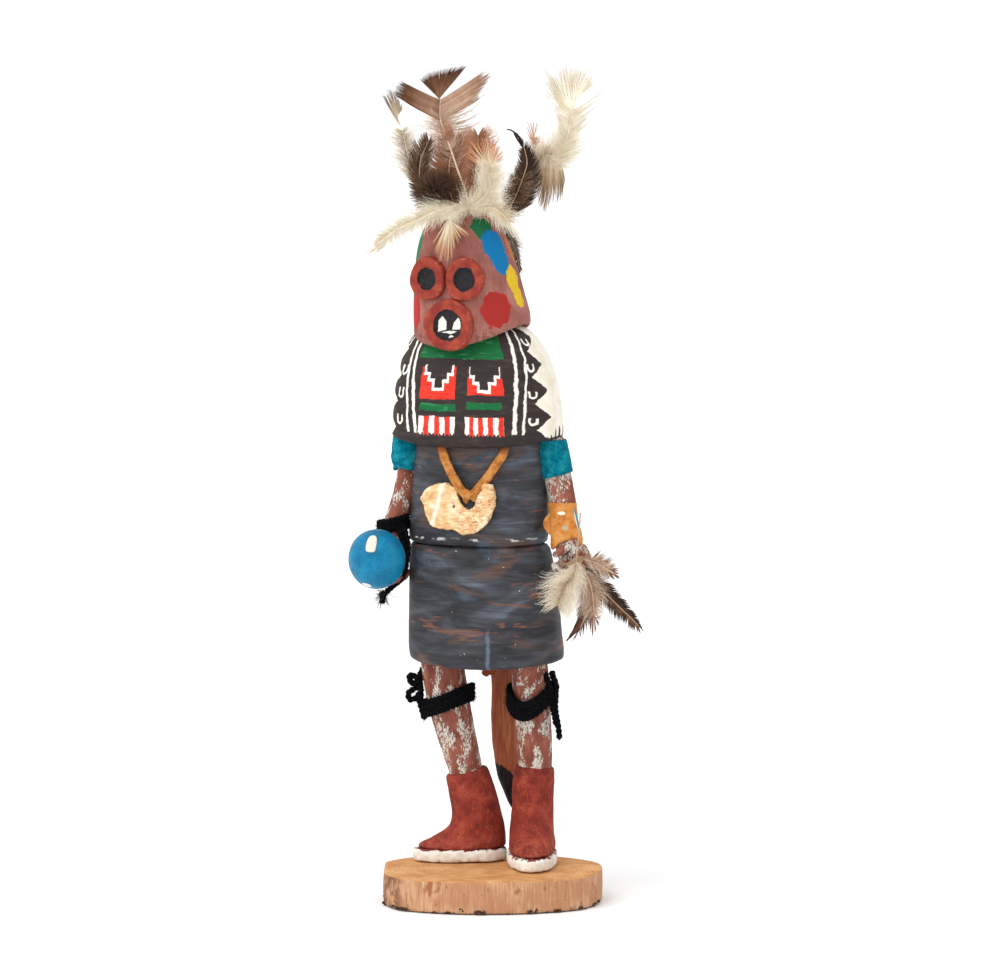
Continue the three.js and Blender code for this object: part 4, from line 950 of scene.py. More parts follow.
def feltLook():
    f = Finish("tealFelt", roughness=0.95, specular=0.05)
    fibre = f.noise(0.55, detail=4.0, rough=0.75)
    colour = f.ramp(f.noise(2.6, detail=3.0), (0.32, 4, 108, 128), (0.5, 10, 136, 154), (0.68, 44, 160, 172))
    colour = f.mix(colour, (4, 88, 118), f.smooth(fibre, 0.5, 0.34) * 0.8)
    colour = f.mix(colour, (70, 176, 186), f.smooth(fibre, 0.56, 0.72) * 0.5)
    return f.done(colour, (f.noise(2.4), 0.5), (fibre, 0.3))


def makeBand(side, look, fuzzLook):
    band = felt[side]
    keys = band["keys"]

    def hoop(place, less, lower=0):
        x, y, z, a, b = between(keys, place)

        def point(angle):
            lap = band["lap"] * (((angle - felt["lapAngle"]) / math.tau) % 1) - less
            slope = band["tilt"] * math.cos(angle) * place + band["wave"] * math.sin(3 * angle + 1) * place
            return Vector((x + (a + lap) * math.cos(angle), y + (b + lap) * math.sin(angle), z + slope + lower)) * mm
        return point

    rows, thick = felt["rows"], felt["thickness"]
    hoops = [hoop(0, thick + 0.2, -1), hoop(0, thick * 0.5)]
    hoops += [hoop(row / rows, 0) for row in range(rows + 1)]
    hoops += [hoop(1, thick * 0.5, -0.5), hoop(1, thick, -0.1), hoop(1, thick + 0.3, 1.2)]
    piece = growRings("felt_" + side, 48, hoops)
    apply(piece, "SUBSURF", levels=1, render_levels=1)
    roughen(piece, band["lumps"], band["lumpSize"])
    settle(piece, "armband_" + side, "felt", look)
    chance = np.random.default_rng(len(side))
    count = felt["fibres"]
    places, turns = chance.random(count), chance.random(count) * math.tau
    x, y, z, a, b = pointsOn(keys, places).T
    out = np.stack([np.cos(turns), np.sin(turns), chance.normal(size=count) * 0.3], axis=1)
    z = z + band["tilt"] * np.cos(turns) * places
    roots = np.stack([x + a * np.cos(turns), y + b * np.sin(turns), z], axis=1)
    strands = Strands()
    addFuzz(strands, roots, out, 0.9, 0.09, (0.2, 0.9), chance)
    settle(strands.piece("felt_fibres_" + side), "armband_" + side, "felt", fuzzLook)


def strandLook(name, *stops, roughness=0.9):
    f = Finish(name, roughness=roughness, specular=0.05)
    return f.done(f.ramp(f.attribute("shade") + (f.noise(1.5) - 0.5) * 0.3, *stops))


tealFelt = feltLook()
tealFibre = strandLook("tealFibre", (0.0, 4, 92, 116), (1.0, 70, 176, 186))
for side in ("right", "left"):
    makeBand(side, tealFelt, tealFibre)
print("felt bands wrapped")


# the leather guard on the left wrist, its ends left as loose corners
guard = {
    "keys": [(31.7, 0.6, 161, 5.9, 5.2), (32.5, -0.2, 156, 5.8, 5.1), (33.6, -1.2, 151, 5.9, 5.2),
             (34.6, -2, 146.6, 6.2, 5.5)],
    "thickness": 0.9, "rows": 10, "sag": 1.6, "sagTowards": 20, "corner": 2.4, "cornerAt": -138, "cornerSpread": 26,
    "flaps": {
        "flap_inner": [(28.2, -2.6, 156.4, 1, 0.4), (27.2, -3.2, 152.6, 2.3, 0.45), (29, -3.8, 148.4, 0.9, 0.4)],
        "flap_outer": [(38.5, -3.6, 149.6, 1.8, 0.45), (40, -4.4, 147, 2.2, 0.45), (41.2, -4.8, 144.4, 0.8, 0.4)],
    },
    "slip": [(36.8, -1.4, 159, 0.9, 0.4), (38.2, -2, 154, 1.1, 0.45), (39.6, -3, 149.4, 0.7, 0.4)],
    "dots": (((33.4, -5.6, 157.2), (1.9, 1.6, 0.8)), ((35.4, -6.6, 151.6), (1.5, 1.5, 1))),
}


def leatherLook():
    f = Finish("guardLeather", roughness=0.6, specular=0.2)
    grain = f.cells(0.7)
    colour = f.ramp(f.noise(4, detail=3.0), (0.32, 188, 112, 48), (0.5, 214, 146, 72), (0.7, 226, 168, 96))
    colour = f.mix(colour, (176, 96, 40), f.spots(1.4, 0.54, 0.72, detail=4.0) * 0.6)
    for (at, reach), tint in zip(guard["dots"], ((244, 238, 222), (196, 178, 152))):
        colour = f.mix(colour, tint, f.patch(at, reach, 0.5))
    return f.done(colour, (f.noise(3), 0.5), (grain, 0.08), (f.noise(0.9, detail=4.0), 0.16))


def slipLook():
    f = Finish("slipPaint", roughness=0.6)
    blue = f.above(f.x - (159 - f.z) * 0.3, 37.2, 0.15)
    pale = f.mix((240, 236, 226), (222, 200, 186), f.noise(1.5))
    return f.done(f.mix(pale, (10, 150, 176), blue), (f.noise(1), 0.15))


def makeGuard():
    rows = guard["rows"]

    def hoop(place, less, lower=0):
        x, y, z, a, b = between(guard["keys"], place)

        def point(angle):
            drop = guard["sag"] * math.cos(angle - math.radians(guard["sagTowards"]))
            away = (math.degrees(angle) - guard["cornerAt"] + 180) % 360 - 180
            corner = guard["corner"] * math.exp(-(away / guard["cornerSpread"]) ** 2)
            fall = place * place * (drop - corner) + lower
            wide = 1 + 0.1 * place * math.exp(-(away / guard["cornerSpread"]) ** 2)
            across, along = (a - less) * wide * math.cos(angle), (b - less) * wide * math.sin(angle)
            return Vector((x + across, y + along, z + fall)) * mm
        return point

    thick = guard["thickness"]
    hoops = [hoop(0, thick + 0.2, -1.5), hoop(0, thick), hoop(0, thick * 0.4, 0.2)]
    hoops += [hoop(row / rows, 0) for row in range(rows + 1)]
    hoops += [hoop(1, thick * 0.5, -0.2), hoop(1, thick), hoop(0.9, thick + 0.2, 0.6)]
    leather = leatherLook()
    wrap = growRings("guard_wrap", 48, hoops)
    apply(wrap, "SUBSURF", levels=1, render_levels=1)
    roughen(wrap, 0.8, 6)
    settle(wrap, "wrist_guard", "leather", leather)
    for name, keys in guard["flaps"].items():
        flap = sweptForm(name, keys, (0.34, -0.94, 0), 12, 16)
        roughen(flap, 0.4, 4)
        settle(flap, "wrist_guard", "leather", leather)
    settle(sweptForm("guard_slip", guard["slip"], (0.5, -0.8, 0), 10, 12), "wrist_guard", "leather", slipLook())


makeGuard()
print("guard made")


# black wool yarn: wraps round the wrist and under the knees, with knots and loose ends
yarn = {
    "ply": 0.74, "plyApart": 0.75, "twist": 3.8, "fuzz": 26, "fuzzReach": 1.5, "fuzzWidth": 0.11, "wander": 0.3,
    "fray": {"from": 0.9, "count": 60, "reach": 2.6, "width": 0.12},
    "garter_right": {
        "loop": {"at": (-17.2, 1.2, 79.2), "a": 9.9, "b": 9.7, "rise": 3.6, "droop": 0.6, "half": 3.3, "turns": 5},
        "ends": [
            [(-27.4, -3.4, 90), (-28.6, -3.8, 86), (-31, -4.6, 86.6), (-31.6, -4.4, 89), (-29.6, -3.4, 88.6),
             (-27.6, -2.4, 84)],
            [(-27.6, -2.8, 85), (-30, -3.8, 83.6), (-32, -4.8, 82), (-31.4, -4.6, 79.4), (-28.8, -3.6, 80.4),
             (-27.2, -2.6, 83.6)],
            [(-28, -3.2, 82), (-27.6, -3.8, 79), (-26.8, -3.4, 75.6), (-25.8, -3, 71.8)],
            [(-26.6, -2.8, 92), (-27.6, -3, 88), (-27.4, -3.2, 84), (-27, -3.4, 78)],
        ],
    },
    "garter_left": {
        "loop": {"at": (18.2, 2.4, 83.6), "a": 9.1, "b": 9.4, "rise": 0.6, "droop": 6.2, "half": 3.6, "turns": 5},
        "ends": [
            [(27.2, 0.4, 92.4), (28.6, -0.2, 90), (29.4, 0.2, 86.6), (28.4, 0.6, 83.4), (26.8, 0.4, 82)],
            [(25.4, -1.6, 92), (26.6, -1.8, 89), (27.6, -1.4, 86), (27, -1.2, 83.4), (25.2, -1.6, 82.4)],
            [(27, 2.2, 92.4), (27.8, 2, 88), (28.6, 1.8, 84), (28.4, 1.8, 80)],
            [(27.4, 1.2, 86), (28.4, 1.2, 81), (28.8, 1.4, 76), (29.6, 2, 70.6), (30, 2.4, 65.8)],
            [(28, 0.6, 84), (27.6, 0.8, 79), (28.4, 1, 75), (28.8, 1.6, 71.4)],
        ],
    },
    "wrist_yarn": {
        "wrap": [(-43, -8.6, 149), (-37.4, -14.6, 150.4), (-31, -9.4, 152), (-36.2, -2.6, 150.6)], "half": 2.6,
        "turns": 4, "least": 5.6,
        "ends": [
            [(-31.6, -12, 151), (-28.2, -15.4, 145.4), (-28, -16.4, 138), (-30.4, -15.2, 130.4),
             (-35.4, -13.4, 126.2), (-39, -14, 122.6), (-39.4, -14.8, 119.8)],
            [(-33, -13, 150), (-29.6, -16.4, 144), (-29.2, -17.6, 138.6), (-30.6, -16.6, 132.6)],
        ],
        "tassel": {"at": (-39.2, -14.6, 123.4), "count": 260, "across": 0.7, "reach": 5.6, "width": 0.2},
    },
}


def layYarn(strands, path, chance):
    # two plies twisted round each other, and the wool's loose hairs
    length = np.linalg.norm(np.diff(path, axis=0), axis=1).sum()
    twists = length / yarn["twist"]
    row = np.linspace(0, 1, len(path))
    ahead = unit(np.gradient(path, axis=0))
    side = unit(np.cross(ahead, np.array([0.34, -0.94, 0.13])))
    other = np.cross(ahead, side)
    for ply in (0, math.pi):
        angle = (row * twists * math.tau + ply)[:, None]
        centres = path + (side * np.cos(angle) + other * np.sin(angle)) * yarn["ply"] * yarn["plyApart"]
        width = np.full((1, len(path)), yarn["ply"] * 2)
        shade = 0.1 + 0.2 * chance.random((1, len(path)))
        strands.add(centres[None], width, width, (0.34, -0.94, 0.13), shade, sides=8)
    count = int(length * yarn["fuzz"])
    spots = (chance.random(count) * (len(path) - 1)).astype(int)
    turn = chance.random(count) * math.tau
    out = side[spots] * np.cos(turn)[:, None] + other[spots] * np.sin(turn)[:, None]
    roots = path[spots] + out * yarn["ply"] * 1.2
    addFuzz(strands, roots, out, yarn["fuzzReach"], yarn["fuzzWidth"], (0.1, 0.5), chance)


def turnsRound(row, count, half, chance):
    # wraps laid side by side, each a closed round of the row of points
    angle = np.linspace(0, math.tau, len(row))
    for turn in range(count):
        height = (turn / (count - 1) - 0.5) * 2 * (half - yarn["ply"])
        wander, _ = chance.normal(size=2) * yarn["wander"]
        yield row + np.stack([0 * angle, 0 * angle, height + wander * np.sin(angle + turn * 2)], axis=1)


def makeYarn(node, look):
    made = yarn[node]
    chance = np.random.default_rng(len(node) + int(made["ends"][0][0][0]) ** 2)
    strands, fray = Strands(), yarn["fray"]
    angle = np.linspace(0, math.tau, 90)
    if "loop" in made:
        loop = made["loop"]
        x, y, z = loop["at"]
        droop = loop["droop"] * np.maximum(0, -np.sin(angle)) ** 2
        row = np.stack([x + loop["a"] * np.cos(angle), y + loop["b"] * np.sin(angle),
                        z + loop["rise"] * np.cos(angle) - droop], axis=1)
    else:
        loop = made
        corners = [*made["wrap"], made["wrap"][0]]
        middle = np.mean(made["wrap"], axis=0)
        row = pointsOn(corners, np.linspace(0, 1, 90))
        flat = np.linalg.norm((row - middle)[:, :2], axis=1, keepdims=True)
        row[:, :2] = middle[:2] + (row - middle)[:, :2] / flat * np.maximum(flat, made["least"])
    for path in turnsRound(row, loop["turns"], loop["half"], chance):
        layYarn(strands, path, chance)
    for end in made["ends"]:
        layYarn(strands, pointsOn(end, np.linspace(0, 1, 12 * len(end))), chance)
        frayed = pointsOn(end, fray["from"] + 0.1 * chance.random(fray["count"]))
        ahead = np.broadcast_to(unit(np.array(end[-1]) - np.array(end[-2])), frayed.shape)
        addFuzz(strands, frayed, ahead, fray["reach"], fray["width"], (0.3, 0.8), chance)
    if "tassel" in made:
        tassel = made["tassel"]
        top = np.array(tassel["at"]) + chance.normal(size=(tassel["count"], 3)) * tassel["across"]
        hanging = np.broadcast_to(np.array([-0.05, -0.1, -1.2]), top.shape)
        addFuzz(strands, top, hanging, tassel["reach"], tassel["width"], (0.2, 1.1), chance)
    settle(strands.piece(node + "_wool"), node, "wool", look)


blackWool = strandLook("blackWool", (0, 8, 8, 10), (0.5, 28, 26, 30), (1, 104, 98, 98))
for node in ("garter_right", "garter_left", "wrist_yarn"):
    makeYarn(node, blackWool)
print("yarn wound")


# the pendant: a sliver of shell on a suede thong
pendant = {
    "shell": [(-20, 162.8), (-18.9, 165.6), (-16.3, 167.6), (-13, 169), (-10.2, 169.2), (-7.2, 168.4),
              (-5.4, 167.6), (-4.4, 165.4), (-3.6, 162.4), (-1.6, 160), (0.6, 159.2), (2.4, 160.2), (3.2, 163),
              (2.8, 166), (3.8, 168.6), (6.4, 169.6), (9.6, 169.2), (11, 166.6), (11.2, 162.6), (10.2, 158.4),
              (8.2, 154.4), (5, 151.4), (1, 149.6), (-3, 149.4), (-6.4, 150.8), (-9, 150.6), (-11.6, 151.2),
              (-14.6, 151.6), (-16.4, 153.6), (-17.6, 156), (-18.4, 158.6), (-19.2, 160.6), (-20, 162.8)],
    "back": -19.8, "front": -22.6, "voxel": 0.3,
    "strands": [
        [(-11.6, -20.2, 184.6, 1.9, 1), (-10.9, -20.9, 181, 1.9, 1.1), (-7.4, -22, 174, 1.9, 1.1),
         (-3.2, -22.6, 167.6, 1.9, 1.2), (0.6, -23, 163.6, 1.6, 0.9)],
        [(14, -17, 184.6, 1.9, 1), (13.2, -18, 181, 1.9, 1.1), (9.2, -20.6, 174, 1.9, 1.1),
         (4.4, -22, 167.6, 1.9, 1.2), (0.9, -22.8, 163.6, 1.6, 0.9)],
    ],
    "knot": [
        [(-1.4, -22.8, 166.6, 1.2, 1), (0.8, -24.2, 166, 1.3, 1.1), (3, -23, 164.4, 1.2, 1),
         (2.2, -22.6, 162.6, 1, 0.9)],
        [(3, -22.8, 166.8, 1.2, 1), (1.4, -24.4, 164.8, 1.3, 1.1), (-1, -23, 163.4, 1.2, 1),
         (0.4, -22.6, 162, 1, 0.9)],
    ],
}


def shellLook():
    f = Finish("pendantShell", roughness=0.28, specular=0.5, coat=0.15)
    streak = f.noise(1.2, stretch=(3.4, 1, 0.9), detail=4.0, distortion=1.4)
    colour = f.ramp(f.noise(4, detail=3.0), (0.34, 226, 178, 120), (0.5, 240, 208, 156), (0.66, 250, 234, 200))
    mottle = f.smooth(streak, 0.46, 0.62) * (0.3 + f.smooth(f.x + (f.noise(4) - 0.5) * 12, -12, 2) * 0.7)
    colour = f.mix(colour, (190, 122, 70), mottle * 0.8)
    colour = f.mix(colour, (150, 84, 50), f.smooth(streak, 0.6, 0.74) * f.smooth(f.x, -6, 6) * 0.8)
    vein = abs(f.x + 13 - (f.z - 160) * 0.3 + (f.noise(3) - 0.5) * 2)
    colour = f.mix(colour, (250, 246, 232), f.below(vein, 0.9, 0.8) * 0.7)
    colour = f.mix(colour, (60, 40, 30), f.patch((-5.8, -22.6, 160.2), (0.5, 1.5, 0.5), 0.4))
    return f.done(colour, (f.noise(5), 0.5), (streak, 0.16))


def suedeLook():
    f = Finish("thongSuede", roughness=0.9, specular=0.08)
    nap = f.noise(0.5, detail=4.0, rough=0.7)
    colour = f.ramp(f.noise(2.6), (0.34, 174, 108, 50), (0.52, 200, 138, 72), (0.68, 216, 160, 98))
    colour = f.mix(colour, (128, 76, 40), f.smooth(nap, 0.5, 0.33) * 0.7)
    # darker towards the top, where the thong goes in under the blanket's hem: painted shade
    colour = f.mix(colour, (134, 66, 42), f.smooth(f.z, 179.5, 184) * 0.8)
    return f.done(colour, (f.noise(1.6), 0.3), (nap, 0.16))


def makePendant():
    def outline(y):
        def point(angle):
            x, z = between(pendant["shell"], (angle / math.tau) % 1)
            return Vector((x, y, z)) * mm
        return point

    shell = growRings("shell_cut", 96, [outline(pendant["back"]), outline(pendant["front"])])
    apply(shell, "REMESH", mode="VOXEL", voxel_size=pendant["voxel"] * mm)
    apply(shell, "SMOOTH", factor=0.5, iterations=8)
    roughen(shell, 1.5, 2.6)
    settle(shell, "shell_pendant", "shell", shellLook())
    parts = [sweptForm("thong", keys, (0, -1, 0.1), 20, 16) for keys in pendant["strands"]]
    parts += [sweptForm("thong_fold", keys, (0, -1, 0.3), 12, 14) for keys in pendant["knot"]]
    thong = fuse("thong_tied", parts, pendant["voxel"])
    roughen(thong, 0.5, 3)
    settle(thong, "necklace_thong", "suede", suedeLook())


makePendant()
print("pendant hung")


# the animal's pelt hanging behind, itself carved and painted, with a black tip
pelt = {
    "keys": [(-0.8, 19.8, 142, 4.6, 1.5), (-0.8, 23.4, 130, 6, 1.7), (-0.6, 24.4, 112, 6.6, 1.9),
             (-0.5, 24.4, 96, 6.8, 2), (-0.4, 23.8, 80, 6.6, 2.2), (0, 23.4, 62, 6.6, 2.6), (1, 23.4, 48, 5.6, 2.6),
             (2.4, 23.6, 38, 3.2, 1.8), (3.4, 23.8, 31.6, 0.8, 0.7)],
    "paw": [(-4.6, 23.2, 92, 1.6, 1.4), (-7.4, 22.8, 90, 2.2, 1.6), (-9.6, 22.4, 86.6, 1.6, 1.2)],
    "tipFrom": 49.5, "voxel": 0.5,
}


def peltLook():
    f = Finish("peltPaint", roughness=0.55, specular=0.2)
    drawn = f.noise(1.2, stretch=(1, 1, 9), detail=4.0)
    colour = f.ramp(drawn, (0.3, 150, 84, 58), (0.5, 182, 108, 72), (0.7, 200, 130, 88))
    colour = f.mix(colour, (168, 78, 56), f.smooth(f.x + (f.noise(8) - 0.5) * 8, -1, -6) * 0.7)
    jagged = (f.noise(1.8, stretch=(1, 1, 2)) - 0.5) * 5 + f.x * 0.5
    tip = f.below(f.z + jagged, pelt["tipFrom"], 0.3)
    colour = f.mix(colour, f.mix((34, 30, 32), (64, 54, 52), f.smooth(drawn, 0.5, 0.7)), tip)
    return f.done(colour, (f.noise(7), 0.6), (drawn, 0.2))


def makePelt():
    hide = sweptForm("pelt", pelt["keys"], (0, 1, 0), 30, 24)
    paw = sweptForm("paw", pelt["paw"], (0, 1, 0), 10, 14)
    carved = fuse("pelt_carved", [hide, paw], pelt["voxel"])
    roughen(carved, 0.8, 9)
    settle(carved, "fox_pelt", "fur", peltLook())


makePelt()
print("pelt hung")


# the slice of branch that the doll stands on
base = {
    "at": (3.9, -7.8), "turn": 20, "halfLength": 44.6, "halfDepth": 31.2, "flatEnd": 0.95, "height": 13.5,
    "bevel": 0.9, "pith": (12, -6), "chips": 26,
}


def baseOutline(angle, less=0.0):
    wave = 1 + 0.018 * math.sin(3 * angle + 0.7) + 0.01 * math.sin(7 * angle)
    long = max(base["halfLength"] * wave * squarish(math.cos(angle), 2.5), -base["halfLength"] * base["flatEnd"])
    deep = base["halfDepth"] * wave * squarish(math.sin(angle), 2.5)
    share = 1 - less / math.hypot(long, deep)
    turn = math.radians(base["turn"])
    x = base["at"][0] + (long * math.cos(turn) - deep * math.sin(turn)) * share
    y = base["at"][1] + (long * math.sin(turn) + deep * math.cos(turn)) * share
    return x, y


def baseLook():
    f = Finish("branchWood", roughness=0.8)
    far = ((f.x - base["pith"][0]) ** 2.0 + ((f.y - base["pith"][1]) * 1.3) ** 2.0) ** 0.5
    ringed = (far + (f.noise(12) - 0.5) * 6).folded(1.1)
    saw = f.noise(1.2, stretch=(12, 0.7, 1), detail=4.0)
    top = f.ramp(f.noise(9, detail=3.0), (0.32, 200, 142, 86), (0.5, 216, 162, 106), (0.7, 228, 182, 128))
    top = f.mix(top, (178, 116, 66), f.smooth(ringed, 0.7, 1.1) * 0.3)
    top = f.mix(top, (236, 200, 152), f.smooth(saw, 0.52, 0.7) * 0.7)
    top = f.mix(top, (170, 112, 66), f.spots(1.6, 0.56, 0.72, detail=4.0, rough=0.7) * 0.6)
    grain = f.noise(0.8, stretch=(1, 1, 14), detail=4.0, rough=0.65)
    side = f.ramp(grain, (0.3, 180, 130, 94), (0.5, 206, 162, 126), (0.7, 224, 188, 156))
    side = f.mix(side, (190, 136, 98), f.spots(14, 0.45, 0.62) * 0.6)
    blotch = f.spots(5, 0.62, 0.72, stretch=(1, 1, 1.6), detail=3.0)
    side = f.mix(side, (158, 92, 62), blotch * 0.7)
    side = f.mix(side, (92, 56, 42), f.spots(1.1, 0.7, 0.75, detail=2.0) * 0.8)
    side = f.mix(side, (112, 70, 52), f.below(f.x + f.y * 0.36, -36, 3) * f.spots(4, 0.35, 0.55) * 0.8)
    bark = f.below(f.z - f.spots(4, 0.54, 0.74) * 2.6, 0.5, 0.3)
    side = f.mix(side, (84, 58, 44), bark)
    rim = base["height"] - 0.5
    cuts = grain * f.below(f.z, rim) + saw * f.above(f.z, rim)
    colour = f.mix(side, top, f.above(f.z, base["height"] - 0.55, 0.2))
    return f.done(colour, (f.noise(8), 0.5), (cuts, 0.3), (f.noise(0.7, detail=4.0), 0.12))


def barkLook():
    f = Finish("barkBits", roughness=0.9)
    colour = f.ramp(f.noise(1.5), (0.35, 58, 40, 32), (0.6, 104, 72, 54), (0.8, 150, 108, 80))
    return f.done(colour, (f.noise(1.2), 0.4))


def makeBase():
    def hoop(less, z, share):
        def point(angle):
            x, y = baseOutline(angle, less)
            cx, cy = base["at"]
            return Vector((cx + (x - cx) * share, cy + (y - cy) * share, z)) * mm
        return point

    top, bevel = base["height"], base["bevel"]
    skirting = [(0, 0, 0.3), (0.6, 0, 1), (0, 0.6, 1), (0, 3, 1), (-0.2, 7, 1), (0, top - bevel - 0.4, 1),
                (0.15, top - bevel * 0.5, 1), (bevel, top, 1)]
    sawn = [(bevel, top, share) for share in (0.93, 0.7, 0.45, 0.2, 0.04)]
    slab = growRings("base_slice", 96, [hoop(*level) for level in skirting + sawn])
    apply(slab, "SUBSURF", levels=1, render_levels=1)
    settle(slab, "base", "barked_wood", baseLook())
    chance = random.Random(5)
    chips = []
    for number in range(base["chips"]):
        angle = chance.uniform(0, math.tau)
        keys = []
        for step in range(4):
            x, y = baseOutline(angle + step * chance.uniform(0.012, 0.03), 0.1)
            keys.append((x, y, 0.8 + chance.uniform(0, 0.9), chance.uniform(0.3, 0.9), chance.uniform(0.3, 0.7)))
        chips.append(sweptForm("chip", keys, (0, 0, 1), 8, 8, 0))
    settle(joined("bark_bits", chips), "base", "barked_wood", barkLook())


makeBase()
print("base sawn")


# the ball of down on the brow
tuft = {"at": (-14.6, -17.4, 284.4), "reach": (10.4, 7.6, 8.8), "count": 3600, "width": 0.24, "core": 0.62,
        "swirl": 0.5, "stray": 0.6}


def makeTuft(look):
    chance = np.random.default_rng(40)
    heading = unit(chance.normal(size=(tuft["count"], 3)))
    s = np.linspace(0, 1, 5)[None, :, None]
    reach = np.array(tuft["reach"]) * (0.78 + 0.26 * chance.random((tuft["count"], 1)))
    swirl = np.cross(heading, np.array([0.3, -0.9, 0.2])) * tuft["swirl"]
    centres = np.array(tuft["at"]) + reach[:, None] * (heading[:, None] * s + swirl[:, None] * s * s)
    centres += chance.normal(size=(tuft["count"], 1, 3)) * tuft["stray"] * s * s
    width = tuft["width"] * (1.2 - 0.9 * s[..., 0]) * np.ones((tuft["count"], 1))
    shade = 0.05 + 0.42 * s[..., 0] + 0.3 * (chance.random((tuft["count"], 1)) - 0.5)
    strands = Strands()
    strands.add(centres, width, width, (0.3, -0.8, 0.5), shade)
    settle(strands.piece("down_ball"), "feather_tuft", "dark_feather", look)
    x, y, z = tuft["at"]
    a, b, c = (reach * tuft["core"] for reach in tuft["reach"])
    levels = [{"x": x, "y": y, "z": z + c * math.sin(t), "a": a * math.cos(t), "b": b * math.cos(t)}
              for t in (-1.5, -1.2, -0.7, 0, 0.7, 1.2, 1.5)]
    core = stackedForm("down_core", levels, 24)
    roughen(core, 1.5, 2)
    f = Finish("downShadow", roughness=0.95)
    shadow = f.ramp(f.noise(1.2), (0.4, 40, 32, 28), (0.65, 84, 68, 58))
    settle(core, "feather_tuft", "dark_feather", f.done(shadow, (f.noise(0.8), 0.5)))


# Each feather has a quill, the line it follows in mm. A fan is a stretch of closed vane: its barbs leave the
# quill between two places, from 0 to 1, and end along tips. Down is loose fluff: it leaves the quill between
# two places. shade runs along a barb from its root to its tip, 0 the feather's darkest colour, 1 its palest.
barb = {"width": 0.46, "thick": 0.12, "stations": 6, "clump": 4, "gather": 0.55, "lift": 2.2, "loose": 0.15}
quillUsual = {"face": (0.34, -0.94, 0), "thick": 0.4, "shaft": 0.85}
fluff = {"width": 0.18, "thick": 0.14, "stations": 6, "spread": 0.55, "curl": 0.35, "wave": 0.15}

